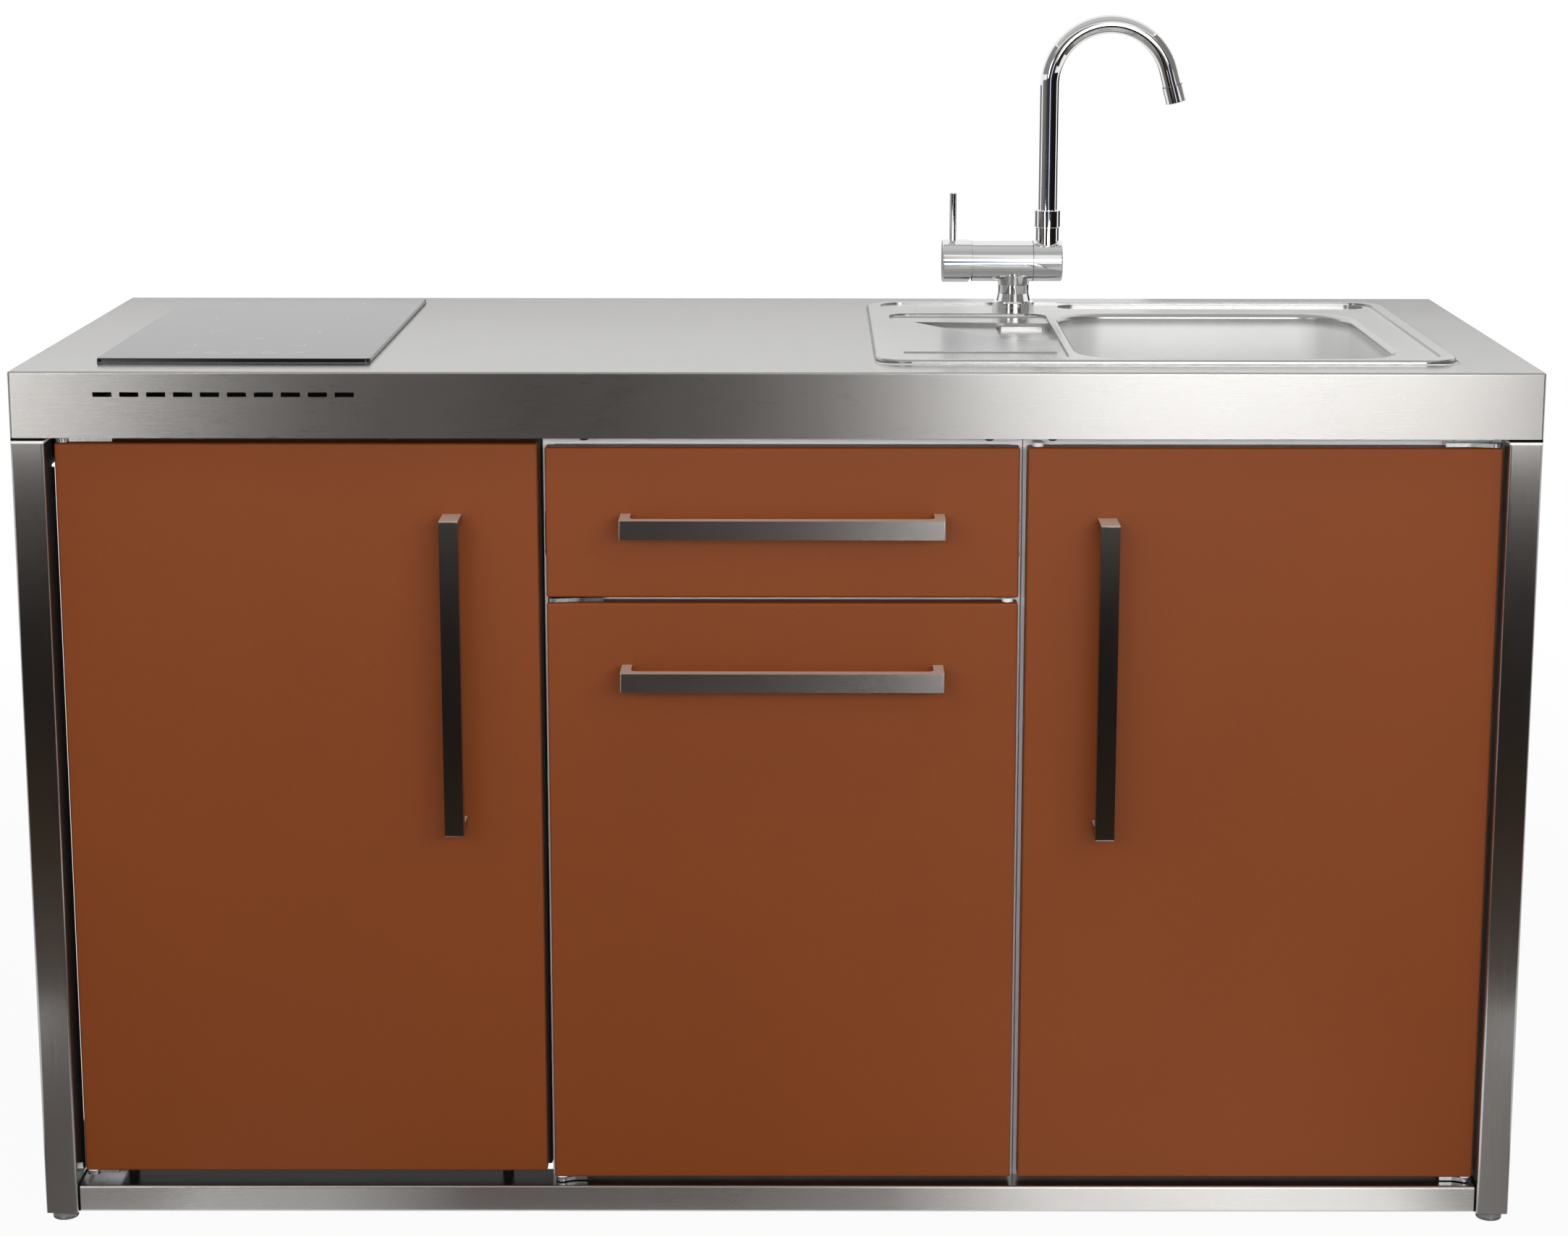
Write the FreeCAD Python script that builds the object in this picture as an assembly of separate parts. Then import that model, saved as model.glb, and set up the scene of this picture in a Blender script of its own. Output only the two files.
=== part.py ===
import FreeCAD, Part
import math
import os

# A free-standing kitchenette with hob, sink, fold-down tap, refrigerator, drawer and two cupboards.
# Millimetres, +Z up, +X to the right, fronts face -Y.
# The origin lies on the floor under the middle of the overall box.

# Overall
unit_width = 1600.0
unit_depth = 620.0
worktop_height = 940.0
seat_gap = 0.3  # pieces that lie by each other without being fixed together
running_gap = 0.05  # radial, a pin or shaft in its bore
face_gap = 0.01  # faces that lie on each other
overshoot = 1.0  # how far a cutting solid runs past what it cuts

# Worktop: folded sheet over a board
worktop_sheet = 1.5
worktop_edge_radius = 2.5
apron_height = 70.0
apron_flange = 18.0
core_thickness = 18.0
slot_count = 10
slot_pitch = 28.0
slot_length = 20.0
slot_height = 5.0
slot_drop = 24.0

# Frame
tube_size = 35.0
tube_wall = 2.0
tube_corner = 3.0
bottom_rail_height = 30.0
bottom_rail_depth = 50.0
bottom_rail_setback = 4.0
top_rail_height = 30.0
top_rail_depth = 25.0
top_rail_gap = 2.0
foot_height = 10.0
foot_radius = 14.0
foot_edge = 1.5
foot_stem_radius = 5.0
foot_stem_length = 40.0

# Fronts
left_bay_width = 517.0
middle_bay_width = 507.0
front_setback = 15.0
front_thickness = 20.0
front_sheet = 1.0
front_flange = 12.0
front_edge_radius = 2.5
front_gap = 8.0
left_door_side_gap = 7.0
right_door_side_gap = 3.0
left_door_top_gap = 8.0
front_top_gap = 12.0
left_door_bottom = 53.0
front_bottom = 46.0
drawer_front_height = 161.0
drawer_door_gap = 6.0
behind_front_gap = 3.5

# Handles
handle_length = 341.0
handle_width = 20.0
handle_projection = 42.0
handle_bar = 13.0
handle_post = 11.0
handle_inner_radius = 6.0
handle_outer_radius = 1.5
handle_drop = 75.0
left_handle_inset = 90.0
right_handle_inset = 84.5
middle_handle_drop = 77.0
handle_screw_radius = 2.0
handle_screw_head_radius = 4.0
handle_screw_head = 2.5
handle_screw_grip = 9.0

# Pivot hinges
pivot_inset = 8.0
pivot_setback = 6.0
pivot_pin_radius = 3.0
pivot_pin_length = 9.0
hinge_plate = 4.0
hinge_plate_radius = 7.0
hinge_top_length = 52.0
hinge_bottom_length = 27.0
hinge_gap = 0.8
hinge_lip = 2.0
hinge_arm_edge = 2.0
hinge_top_overlap = 24.0
catch_radius = 6.0
catch_inset = 11.0
catch_setback = 2.0

# Cabinets
cabinet_sheet = 1.0
cabinet_flange = 12.0
cabinet_top_flange = 4.0
cabinet_side_gap = 0.5
cabinet_back_gap = 40.0
cabinet_top_frame = 24.0
cross_strip = 16.0
service_width = 320.0
service_height = 300.0
service_bottom = 480.0
service_corner = 20.0
shelf_height = 370.0
shelf_edge = 15.0
shelf_lug = 8.0
shelf_lug_height = 6.0
shelf_lug_setback = 80.0
shelf_setback = 30.0
shelf_side_gap = 1.0
shelf_back_gap = 2.0

# Drawer and runners
runner_height = 45.0
runner_thickness = 12.7
runner_sheet = 1.2
runner_length = 450.0
runner_gap = 0.3
runner_step = 1.0
runner_setback = 1.0
runner_notch = 1.5
outer_runner_reach = 8.9
middle_runner_reach = 9.5
inner_runner_reach = 7.0
drawer_sheet = 1.2
drawer_height = 100.0
drawer_length = 450.0
drawer_lift = 15.0
drawer_rim = 6.0

# Refrigerator
fridge_side_gap = 2.0
fridge_wall = 38.0
fridge_back_gap = 30.0
fridge_sheet = 0.8
fridge_liner_sheet = 2.0
niche_depth = 150.0
niche_height = 190.0
niche_floor = 6.0
niche_side = 20.0
fridge_foot_radius = 6.0
fridge_foot_inset = 50.0
fridge_shelf_heights = (420.0, 550.0, 680.0)
fridge_shelf_thickness = 5.0
fridge_shelf_gap = 1.0
fridge_shelf_front = 24.0
fridge_shelf_corner = 4.0
fridge_rib = 10.0
fridge_rib_height = 6.0
fridge_rib_front = 30.0
fridge_corner = 3.0
gasket_width = 14.0
gasket_inset = 14.0
door_plug = 10.0
door_plug_wall = 16.0
door_plug_gap = 8.0
door_plug_corner = 12.0
door_liner_sheet = 1.5
door_shelf_depth = 75.0
door_shelf_wall = 2.5
door_shelf_heights = (130.0, 400.0, 640.0)
door_shelf_height = 60.0
door_shelf_corner = 6.0
compressor_radius = 68.0
compressor_height = 115.0
compressor_lift = 20.0
compressor_seam = 4.0
compressor_plate = (170.0, 100.0, 4.0)
compressor_foot_radius = 11.0
compressor_foot_inset = 15.0
condenser_passes = 8
condenser_radius = 2.5
condenser_standoff = 12.0
condenser_side_gap = 60.0
condenser_bottom_gap = 40.0
condenser_wire = 1.8
condenser_wire_count = 11
condenser_wire_end = 8.0
condenser_wire_inset = 12.0
condenser_clip = 12.0
knob_radius = 17.0
knob_length = 12.0
knob_shaft_radius = 3.0
knob_shaft_length = 12.0
knob_setback = 160.0
knob_drop = 90.0
knob_grip = 6.0
knob_grip_width = 5.0

# Hob
hob_width = 290.0
hob_side_gap = 79.0
hob_setback = 62.0
hob_back_gap = 48.0
hob_glass = 4.0
hob_seal = 1.0
hob_corner = 6.0
hob_case_inset = 12.0
hob_case_height = 35.0
hob_case_sheet = 1.0
hob_cutout_gap = 3.0
hob_seal_inset = 1.0
hob_clip_inset = 60.0
hob_clip_leaf = 1.5
hob_clip_foot = 14.0
hob_clip_sheet = 2.0
hob_vent_count = 8
hob_vent_width = 6.0
hob_vent_length = 30.0
hob_vent_pitch = 18.0
heater_radii = (72.0, 90.0)
heater_insets = (158.0, 118.0)
heater_wall = 3.0
heater_edge = 4.0
heater_floor = 18.0
heater_coil = 4.0
board_thickness = 1.6
board_lift = 10.0
board_depth = 52.0
board_side_gap = 20.0
board_front_gap = 8.0
board_post_radius = 3.0
board_post_inset = 6.0
board_part = (40.0, 30.0, 12.4)
board_part_inset = (20.0, 10.0)
key_radius = 5.0
key_pitch = 16.0
key_count = 5
key_setback = 18.0

# Sink
sink_width = 620.0
sink_side_gap = 76.0
sink_setback = 57.5
sink_back_gap = 67.5
sink_corner = 38.0
sink_sheet = 1.0
sink_rim_height = 5.0
sink_rim_width = 16.0
sink_field_drop = 2.0
sink_cutout_inset = 10.0
sink_foot_inset = 3.0
sink_rim_radius = 3.0
sink_field_ease = 4.0
bowl_left = 220.0
bowl_side_gap = 60.0
bowl_front = 25.0
bowl_back_gap = 100.0
bowl_depth = 150.0
bowl_corner = 60.0
bowl_floor_radius = 28.0
bowl_lip = 6.0
drainer_left = 24.0
drainer_width = 184.0
drainer_front = 21.0
drainer_back_gap = 100.0
drainer_corner = 24.0
drainer_drop = 2.5
groove_back_gap = 16.0
groove_width = 44.0
groove_side_gap = 26.0
groove_left = 228.0
groove_drop = 3.0
fan_tip = 52.0
fan_tip_rise = 12.0
fan_drop = 4.0
pocket_left = 146.0
pocket_width = 62.0
pocket_front = 185.0
pocket_length = 140.0
pocket_corner = 8.0
pocket_drop = 8.0
outlet_inset = 6.0
outlet_size = 48.0
outlet_drop = 20.0
outlet_radius = 12.0
rib_radius = 3.0
rib_rise = 1.6
rib_end_gap = 10.0
rib_lines = ((30.0, 100.0), (86.0, 166.0), (381.0, 168.0))
waste_radius = 45.0
waste_flange_radius = 56.0
waste_flange_height = 1.2
waste_nut_radius = 52.0
waste_cup_depth = 42.0
waste_spigot = 18.0
waste_sheet = 2.0
waste_pipe_radius = 20.0
waste_pipe_wall = 2.0
overflow_radius = 11.0
overflow_bend = 26.0
overflow_rise = 17.0
overflow_collar = 8.0
overflow_collar_height = 5.0
overflow_socket = 3.0
overflow_socket_length = 12.0
trap_radius = 33.0
trap_height = 120.0
trap_drop = 55.0
trap_ring = 4.0
trap_ring_height = 20.0
trap_arm_drop = 38.0
trap_wall_gap = 4.0
trap_nut = (7.0, 16.0)
trap_cup = 8.0
basket_wall = 1.5
basket_gap = 2.0
basket_lift = 8.0
basket_rim = 8.0
basket_hole_radius = 3.0
basket_ring_shares = (0.35, 0.68)
basket_hole_counts = (6, 12)
clip_width = 14.0
clip_inset = 90.0
clip_setback = 150.0
clip_drop = 3.0
clip_sheet = 3.0
clip_foot = 12.0

# Tap, about the axis of its pedestal
tap_from_sink = 174.0
tap_back_gap = 120.0
tap_ring_radius = 25.0
tap_ring_height = 10.0
tap_axis_height = 1000.0
tap_body_radius = 24.0
tap_body_left = -50.0
tap_body_right = 22.0
tap_waist = 18.0
tap_pedestal_radius = 20.0
pedestal_steps = (9.0, 28.0, 16.0)
tap_edge = 1.5
cap_radius = 25.0
cap_length = 35.0
cap_bevel_angle = 22.0
cap_bevel_height = -13.0
cap_cavity_radius = 15.0
cap_cavity_depth = 22.0
cartridge_radius = 17.5
cartridge_length = 38.0
spindle_radius = 4.0
spindle_reach = 12.0
lever_radius = 4.0
lever_top = 81.0
lever_inset = 12.5
lever_seat = 10.0
fold_length = 34.5
fold_spigot_radius = 14.0
fold_spigot_length = 30.0
neck_radius = 13.5
neck_top = 40.0
spout_spigot_radius = 9.0
spout_spigot_height = 14.0
swivel_ring_radius = 14.75
swivel_ring_height = 20.5
spout_radius = 11.0
spout_wall = 2.0
spout_straight = 208.0
spout_bend = 71.0
spout_sweep = 165.0
spout_end = 20.0
aerator_radius = 11.9
aerator_length = 20.0
aerator_wall = 3.0
aerator_floor = 4.0
aerator_lip = 2.0
stud_radius = 16.0
stud_length = 38.0
stud_tip_radius = 12.0
stud_tip_length = 14.0
tail_radius = 5.0
tail_spread = 8.0
tail_bend = 25.0
hot_tail_inset = 12.0
hot_tail_drop = 80.0
cold_tail_inset = 34.0
cold_tail_drop = 50.0
nut_height = 9.0
nut_across = 46.0
washer_thickness = 3.0

# Planes that several pieces share
half_width = unit_width / 2
handle_reach = handle_projection - front_setback
front = (handle_reach - unit_depth) / 2
back = front + unit_depth
apron_bottom = worktop_height - apron_height
core_bottom = worktop_height - worktop_sheet - core_thickness
frame_inner = half_width - tube_size
bay_left = -frame_inner + left_bay_width
bay_right = bay_left + middle_bay_width
face_y = front + front_setback
front_back_y = face_y + front_thickness
cabinet_front = front_back_y + behind_front_gap
cabinet_back = back - cabinet_back_gap
cabinet_bottom = foot_height + bottom_rail_height
left_door_top = apron_bottom - left_door_top_gap
front_top = apron_bottom - front_top_gap
drawer_front_bottom = front_top - drawer_front_height
middle_door_top = drawer_front_bottom - drawer_door_gap
fridge_left = -frame_inner + fridge_side_gap
fridge_right = bay_left - cabinet_side_gap
fridge_bottom = left_door_bottom - hinge_gap
fridge_top = left_door_top + hinge_gap
fridge_back = back - fridge_back_gap
pivot_y = face_y + pivot_setback
sink_left = half_width - sink_side_gap - sink_width
sink_front = front + sink_setback
sink_depth = unit_depth - sink_setback - sink_back_gap
bowl_width = sink_width - bowl_left - bowl_side_gap
bowl_length = sink_depth - bowl_front - bowl_back_gap
drainer_length = sink_depth - drainer_front - drainer_back_gap
groove_front = sink_depth - groove_back_gap - groove_width
groove_length = sink_width - groove_left - groove_side_gap
sink_top = worktop_height + sink_rim_height
sink_field = sink_top - sink_field_drop
bowl_bottom = sink_field - bowl_depth
waste_x = sink_left + bowl_left + bowl_width / 2
waste_y = sink_front + bowl_front + bowl_length / 2
outlet_x = sink_left + pocket_left + outlet_inset + outlet_size / 2
outlet_y = sink_front + pocket_front + outlet_inset + outlet_size / 2
outlet_floor = sink_field - drainer_drop - outlet_drop
tap_x = sink_left + tap_from_sink
tap_y = back - tap_back_gap
service_left = (bay_right + frame_inner - service_width) / 2
service_top = service_bottom + service_height
hot_tail_end = (service_left + hot_tail_inset, service_top - hot_tail_drop)
cold_tail_end = (service_left + cold_tail_inset, service_top - cold_tail_drop)
hob_left = -half_width + hob_side_gap
hob_centre = hob_left + hob_width / 2
hob_front = front + hob_setback
hob_depth = unit_depth - hob_setback - hob_back_gap

left_door_box = (-frame_inner + left_door_side_gap, bay_left - front_gap / 2, left_door_bottom, left_door_top)
middle_door_box = (bay_left + front_gap / 2, bay_right - front_gap / 2, front_bottom, middle_door_top)
right_door_box = (bay_right + front_gap / 2, frame_inner - right_door_side_gap, front_bottom, front_top)
drawer_front_box = (middle_door_box[0], middle_door_box[1], drawer_front_bottom, front_top)

axis_x = FreeCAD.Vector(1, 0, 0)
axis_y = FreeCAD.Vector(0, 1, 0)
axis_z = FreeCAD.Vector(0, 0, 1)


def point(x, y, z):
    return FreeCAD.Vector(x, y, z)


def block(x0, x1, y0, y1, z0, z1):
    return Part.makeBox(x1 - x0, y1 - y0, z1 - z0, point(x0, y0, z0))


def rod(radius, start, direction, length):
    return Part.makeCylinder(radius, length, start, direction)


def edges_along(shape, direction):
    chosen = []
    for edge in shape.Edges:
        if edge.Curve.TypeId == "Part::GeomLine" and abs(edge.Curve.Direction.dot(direction)) > 0.999:
            chosen.append(edge)
    return chosen


def rounded_block(x0, x1, y0, y1, z0, z1, radius, direction=axis_z):
    body = block(x0, x1, y0, y1, z0, z1)
    return body.makeFillet(radius, edges_along(body, direction))


def slab(points, z0, z1):
    corners = [point(x, y, z0) for x, y in points]
    outline = Part.makePolygon(corners + corners[:1])
    return Part.Face(outline).extrude(point(0, 0, z1 - z0))


def turned(profile, centre, direction):
    """Solid of revolution: profile holds (radius, height) pairs along direction from centre."""
    side = axis_x if abs(direction.dot(axis_x)) < 0.5 else axis_z
    corners = [centre + side * radius + direction * height for radius, height in profile]
    outline = Part.makePolygon(corners + corners[:1])
    return Part.Face(outline).revolve(centre, direction, 360)


def pipe(radius, path):
    """Round bar along a wire of straight runs and tangent arcs."""
    start = path.Edges[0]
    tangent = start.tangentAt(start.FirstParameter)
    ring = Part.Wire(Part.makeCircle(radius, start.valueAt(start.FirstParameter), tangent))
    return path.makePipeShell([ring], True, False)


def group(solids):
    return Part.makeCompound(solids)


def fuse(solids):
    return solids[0].multiFuse(solids[1:]).removeSplitter()


def save(name, shape):
    solids = shape.Solids
    if len(solids) == 1:
        solids[0].exportStep("parts/" + name + ".step")
    else:
        group(solids).exportStep("parts/" + name + ".step")


# Worktop

def hob_cutout(z0, z1):
    grow = hob_cutout_gap - hob_case_inset
    return rounded_block(hob_left - grow, hob_left + hob_width + grow, hob_front - grow,
                         hob_front + hob_depth + grow, z0, z1, hob_corner)


def sink_cutout(z0, z1):
    inset = sink_cutout_inset
    return rounded_block(sink_left + inset, sink_left + sink_width - inset, sink_front + inset,
                         sink_front + sink_depth - inset, z0, z1, sink_corner - inset)


def make_worktop():
    outer = block(-half_width, half_width, front, back, apron_bottom, worktop_height)
    soft = edges_along(outer, axis_z)
    soft += [e for e in outer.Edges if e.CenterOfMass.z > worktop_height - worktop_sheet]
    outer = outer.makeFillet(worktop_edge_radius, soft)
    t = worktop_sheet
    hollow = block(-half_width + t, half_width - t, front + t, back - t, apron_bottom + t, worktop_height - t)
    f = apron_flange
    mouth = block(-half_width + f, half_width - f, front + f, back - f, apron_bottom - t, apron_bottom + 2 * t)
    sheet = outer.cut(hollow).cut(mouth)
    sheet = sheet.cut(hob_cutout(core_bottom, worktop_height + t)).cut(sink_cutout(core_bottom, worktop_height + t))
    slot_z = worktop_height - slot_drop
    first = hob_centre - slot_pitch * (slot_count - 1) / 2
    for index in range(slot_count):
        x = first + index * slot_pitch
        sheet = sheet.cut(block(x - slot_length / 2, x + slot_length / 2, front - t, front + 2 * t,
                                slot_z - slot_height / 2, slot_z + slot_height / 2))
    return sheet


def make_worktop_core():
    inset = worktop_sheet + seat_gap
    board = block(-half_width + inset, half_width - inset, front + inset, back - inset,
                  core_bottom, worktop_height - worktop_sheet)
    return board.cut(hob_cutout(core_bottom - 1, worktop_height)).cut(sink_cutout(core_bottom - 1, worktop_height))


# Frame

def make_side_frame(side):
    x0 = -half_width if side < 0 else frame_inner
    x1 = x0 + tube_size
    s = tube_size
    w = tube_wall
    legs = []
    hollows = []
    for y0 in (front, back - s):
        legs.append(rounded_block(x0, x1, y0, y0 + s, foot_height, apron_bottom, tube_corner))
        hollows.append(block(x0 + w, x1 - w, y0 + w, y0 + s - w, foot_height + w, apron_bottom - w))
    for z0 in (foot_height, apron_bottom - s):
        legs.append(rounded_block(x0, x1, front + s / 2, back - s / 2, z0, z0 + s, tube_corner, axis_y))
        hollows.append(block(x0 + w, x1 - w, front + s / 2, back - s / 2, z0 + w, z0 + s - w))
    frame = fuse(legs).cut(fuse(hollows))
    for x, y in foot_centres():
        if x0 < x < x1:
            frame = frame.cut(rod(foot_stem_radius + running_gap, point(x, y, 0), axis_z, foot_height + 2 * w))
    return frame


def foot_centres():
    x = half_width - tube_size / 2
    y0 = front + tube_size / 2
    y1 = back - tube_size / 2
    return [(-x, y0), (x, y0), (-x, y1), (x, y1)]


def make_feet():
    feet = []
    for x, y in foot_centres():
        hexagon = []
        for corner in range(6):
            angle = math.radians(60 * corner + 30)
            hexagon.append((x + foot_radius * 1.05 * math.cos(angle), y + foot_radius * 1.05 * math.sin(angle)))
        top = foot_height - face_gap
        pad = turned([(0, 0), (foot_radius - foot_edge, 0), (foot_radius, foot_edge), (foot_radius, top), (0, top)],
                     point(x, y, 0), axis_z)
        pad = pad.common(slab(hexagon, -overshoot, foot_height + overshoot))
        stem = rod(foot_stem_radius, point(x, y, foot_height / 2), axis_z, foot_stem_length)
        feet.append(fuse([pad, stem]))
    return group(feet)


def tube_along_x(x0, x1, y0, y1, z0, z1):
    w = tube_wall
    outer = rounded_block(x0, x1, y0, y1, z0, z1, tube_corner, axis_x)
    return outer.cut(block(x0 - 1, x1 + 1, y0 + w, y1 - w, z0 + w, z1 - w))


def make_frame_rails():
    """Front and rear rails near the floor, and two under the worktop that carry the cabinets."""
    rails = []
    for y0 in (front + bottom_rail_setback, back - bottom_rail_setback - bottom_rail_depth):
        rails.append(tube_along_x(-frame_inner, frame_inner, y0, y0 + bottom_rail_depth,
                                  foot_height, cabinet_bottom))
    inset = apron_flange + top_rail_gap
    reach = half_width - inset
    for y0 in (front + inset, back - inset - top_rail_depth):
        rails.append(tube_along_x(-reach, reach, y0, y0 + top_rail_depth,
                                  apron_bottom, apron_bottom + top_rail_height))
    return group(rails)


# Cabinets

def cabinet_shell(x0, x1):
    t = cabinet_sheet
    outer = block(x0, x1, cabinet_front, cabinet_back, cabinet_bottom, apron_bottom)
    return outer.cut(block(x0 + t, x1 - t, cabinet_front + t, cabinet_back - t,
                           cabinet_bottom + t, apron_bottom - t))


def front_opening(x0, x1, z0, z1):
    return block(x0, x1, cabinet_front - 1, cabinet_front + cabinet_sheet + 1, z0, z1)


def middle_cabinet_sides():
    return bay_left + cabinet_side_gap, bay_right - cabinet_side_gap


def runner_z():
    return drawer_front_bottom + drawer_lift + drawer_height / 2


def make_middle_cabinet():
    x0, x1 = middle_cabinet_sides()
    f = cabinet_flange
    t = cabinet_sheet
    body = cabinet_shell(x0, x1)
    strip_top = drawer_front_bottom + cross_strip / 3
    strip_bottom = strip_top - cross_strip
    body = body.cut(front_opening(x0 + f, x1 - f, strip_top, apron_bottom - f))
    body = body.cut(front_opening(x0 + f, x1 - f, cabinet_bottom + f, strip_bottom))
    notch = runner_height / 2 + runner_notch
    body = body.cut(front_opening(x0 + t, x1 - t, runner_z() - notch, runner_z() + notch))
    brace = block(x0 + t, x1 - t, cabinet_front + t, cabinet_front + f + t, strip_bottom, strip_bottom + t)
    pieces = [body, brace]
    for y in (cabinet_front + shelf_lug_setback, cabinet_back - shelf_lug_setback - shelf_edge):
        for x, way in ((x0 + t, 1), (x1 - t, -1)):
            lug_end = x + way * shelf_lug
            pieces.append(block(min(x, lug_end), max(x, lug_end), y, y + shelf_edge,
                                shelf_height - shelf_lug_height, shelf_height))
    return fuse(pieces)


def make_middle_shelf():
    x0, x1 = middle_cabinet_sides()
    inset = cabinet_sheet + shelf_side_gap
    y0 = cabinet_front + shelf_setback
    y1 = cabinet_back - cabinet_sheet - shelf_back_gap
    t = cabinet_sheet
    lip = shelf_lug + shelf_side_gap
    plate = block(x0 + inset, x1 - inset, y0, y1, shelf_height, shelf_height + t)
    front_fold = block(x0 + inset + lip, x1 - inset - lip, y0, y0 + t, shelf_height - shelf_edge, shelf_height + t)
    under_fold = block(x0 + inset + lip, x1 - inset - lip, y0, y0 + shelf_edge,
                       shelf_height - shelf_edge, shelf_height - shelf_edge + t)
    back_fold = block(x0 + inset + lip, x1 - inset - lip, y1 - t, y1, shelf_height - shelf_edge, shelf_height + t)
    return fuse([plate, front_fold, under_fold, back_fold])


def right_cabinet_sides():
    return bay_right + cabinet_side_gap, frame_inner - cabinet_side_gap


def make_right_cabinet():
    x0, x1 = right_cabinet_sides()
    f = cabinet_flange
    body = cabinet_shell(x0, x1)
    body = body.cut(front_opening(x0 + f, x1 - f, cabinet_bottom + f, apron_bottom - f))
    side = cabinet_top_flange
    body = body.cut(block(x0 + side, x1 - side, cabinet_front + cabinet_top_frame, cabinet_back - cabinet_top_frame,
                          apron_bottom - 2 * cabinet_sheet, apron_bottom + overshoot))
    middle = (x0 + x1) / 2
    return body.cut(rounded_block(middle - service_width / 2, middle + service_width / 2,
                                  cabinet_back - 2 * cabinet_sheet, cabinet_back + overshoot, service_bottom,
                                  service_bottom + service_height, service_corner, axis_y))


# Fronts

def front_box(box):
    x0, x1, z0, z1 = box
    body = block(x0, x1, face_y, front_back_y, z0, z1)
    soft = edges_along(body, axis_y)
    soft += [e for e in body.Edges if e.CenterOfMass.y < face_y + 0.01]
    return body.makeFillet(front_edge_radius, soft)


def make_front_skin(box, holes, pivots):
    x0, x1, z0, z1 = box
    t = front_sheet
    f = front_flange
    skin = front_box(box).cut(block(x0 + t, x1 - t, face_y + t, front_back_y - t, z0 + t, z1 - t))
    o = overshoot
    skin = skin.cut(block(x0 + f, x1 - f, face_y + 2 * t, front_back_y + o, z0 + f, z1 - f))
    for x, z in holes:
        skin = skin.cut(rod(handle_screw_radius + 0.2, point(x, face_y - o, z), axis_y, t + 2 * o))
    for x in pivots:
        hole = rod(pivot_pin_radius + 4 * running_gap, point(x, pivot_y, z0 - o), axis_z, z1 - z0 + 2 * o)
        skin = skin.cut(hole.common(block(x - f, x + f, face_y + t, front_back_y, z0 - o, z1 + o)))
    return skin


def make_front_core(box, holes, pivots):
    x0, x1, z0, z1 = box
    t = front_sheet
    f = front_flange
    core = block(x0 + t, x1 - t, face_y + t, front_back_y - t, z0 + t, z1 - t)
    boss = block(x0 + f, x1 - f, front_back_y - t, front_back_y, z0 + f, z1 - f)
    core = fuse([core, boss])
    for x, z in holes:
        core = core.cut(rod(handle_screw_radius + 0.2, point(x, face_y, z), axis_y, front_thickness + 1))
        core = core.cut(rod(handle_screw_head_radius + 0.5, point(x, front_back_y - handle_screw_head, z),
                            axis_y, handle_screw_head + 1))
    for x in pivots:
        for z, way in ((z0, 1), (z1, -1)):
            core = core.cut(rod(pivot_pin_radius + running_gap, point(x, pivot_y, z), axis_z * way,
                                pivot_pin_length + 1))
    return core


def make_handle(centre_x, centre_z, upright):
    half = handle_length / 2
    depth = handle_projection
    bar = handle_bar
    bow = block(-half, half, face_y - depth, face_y, -handle_width / 2, handle_width / 2)
    outer_edges = [e for e in edges_along(bow, axis_z) if e.CenterOfMass.y < face_y - 1]
    bow = bow.makeFillet(handle_outer_radius, outer_edges)
    gap = block(-half + handle_post, half - handle_post, face_y - depth + bar, face_y + 1,
                -handle_width, handle_width)
    inner_edges = [e for e in edges_along(gap, axis_z) if e.CenterOfMass.y < face_y]
    bow = bow.cut(gap.makeFillet(handle_inner_radius, inner_edges))
    for x in (-half + handle_post / 2, half - handle_post / 2):
        bow = bow.cut(rod(handle_screw_radius, point(x, face_y - handle_screw_grip - 1, 0), axis_y,
                          handle_screw_grip + 1))
    if upright:
        bow.rotate(point(0, 0, 0), axis_y, 90)
    bow.translate(point(centre_x, 0, centre_z))
    return bow


def handle_holes(centre_x, centre_z, upright):
    reach = (handle_length - handle_post) / 2
    if upright:
        return [(centre_x, centre_z - reach), (centre_x, centre_z + reach)]
    return [(centre_x - reach, centre_z), (centre_x + reach, centre_z)]


def make_handle_screws(holes, seat_y):
    screws = []
    for x, z in holes:
        shank = rod(handle_screw_radius - running_gap, point(x, face_y - handle_screw_grip, z), axis_y,
                    seat_y - face_y + handle_screw_grip + 0.5)
        head = rod(handle_screw_head_radius, point(x, seat_y, z), axis_y, handle_screw_head - 0.5)
        screws.append(fuse([shank, head]))
    return group(screws)


# Hinges and catches

def hinge_bracket(pivot_x, inward, door_z, above, length, carrier_y, lip_z):
    """Plate over or under a door's edge, with a pin down or up into it and a lip on its carrier."""
    z0 = door_z + hinge_gap if above else door_z - hinge_gap - hinge_plate
    r = hinge_plate_radius
    x_end = pivot_x + inward * length
    disc = rod(r, point(pivot_x, pivot_y, z0), axis_z, hinge_plate)
    edge = pivot_y - hinge_arm_edge
    arm = block(min(pivot_x, x_end), max(pivot_x, x_end), edge, carrier_y, z0, z0 + hinge_plate)
    nose = slab([(pivot_x, pivot_y - r), (pivot_x + inward * length / 2, edge), (pivot_x, edge)],
                z0, z0 + hinge_plate)
    low, high = (z0, lip_z) if above else (lip_z, z0 + hinge_plate)
    lip = block(min(pivot_x, x_end), max(pivot_x, x_end), carrier_y - hinge_lip, carrier_y, low, high)
    way = -1 if above else 1
    pin = rod(pivot_pin_radius, point(pivot_x, pivot_y, z0 + hinge_plate / 2), axis_z * way,
              hinge_plate / 2 + hinge_gap + pivot_pin_length)
    return fuse([disc, arm, nose, lip, pin])


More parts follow.
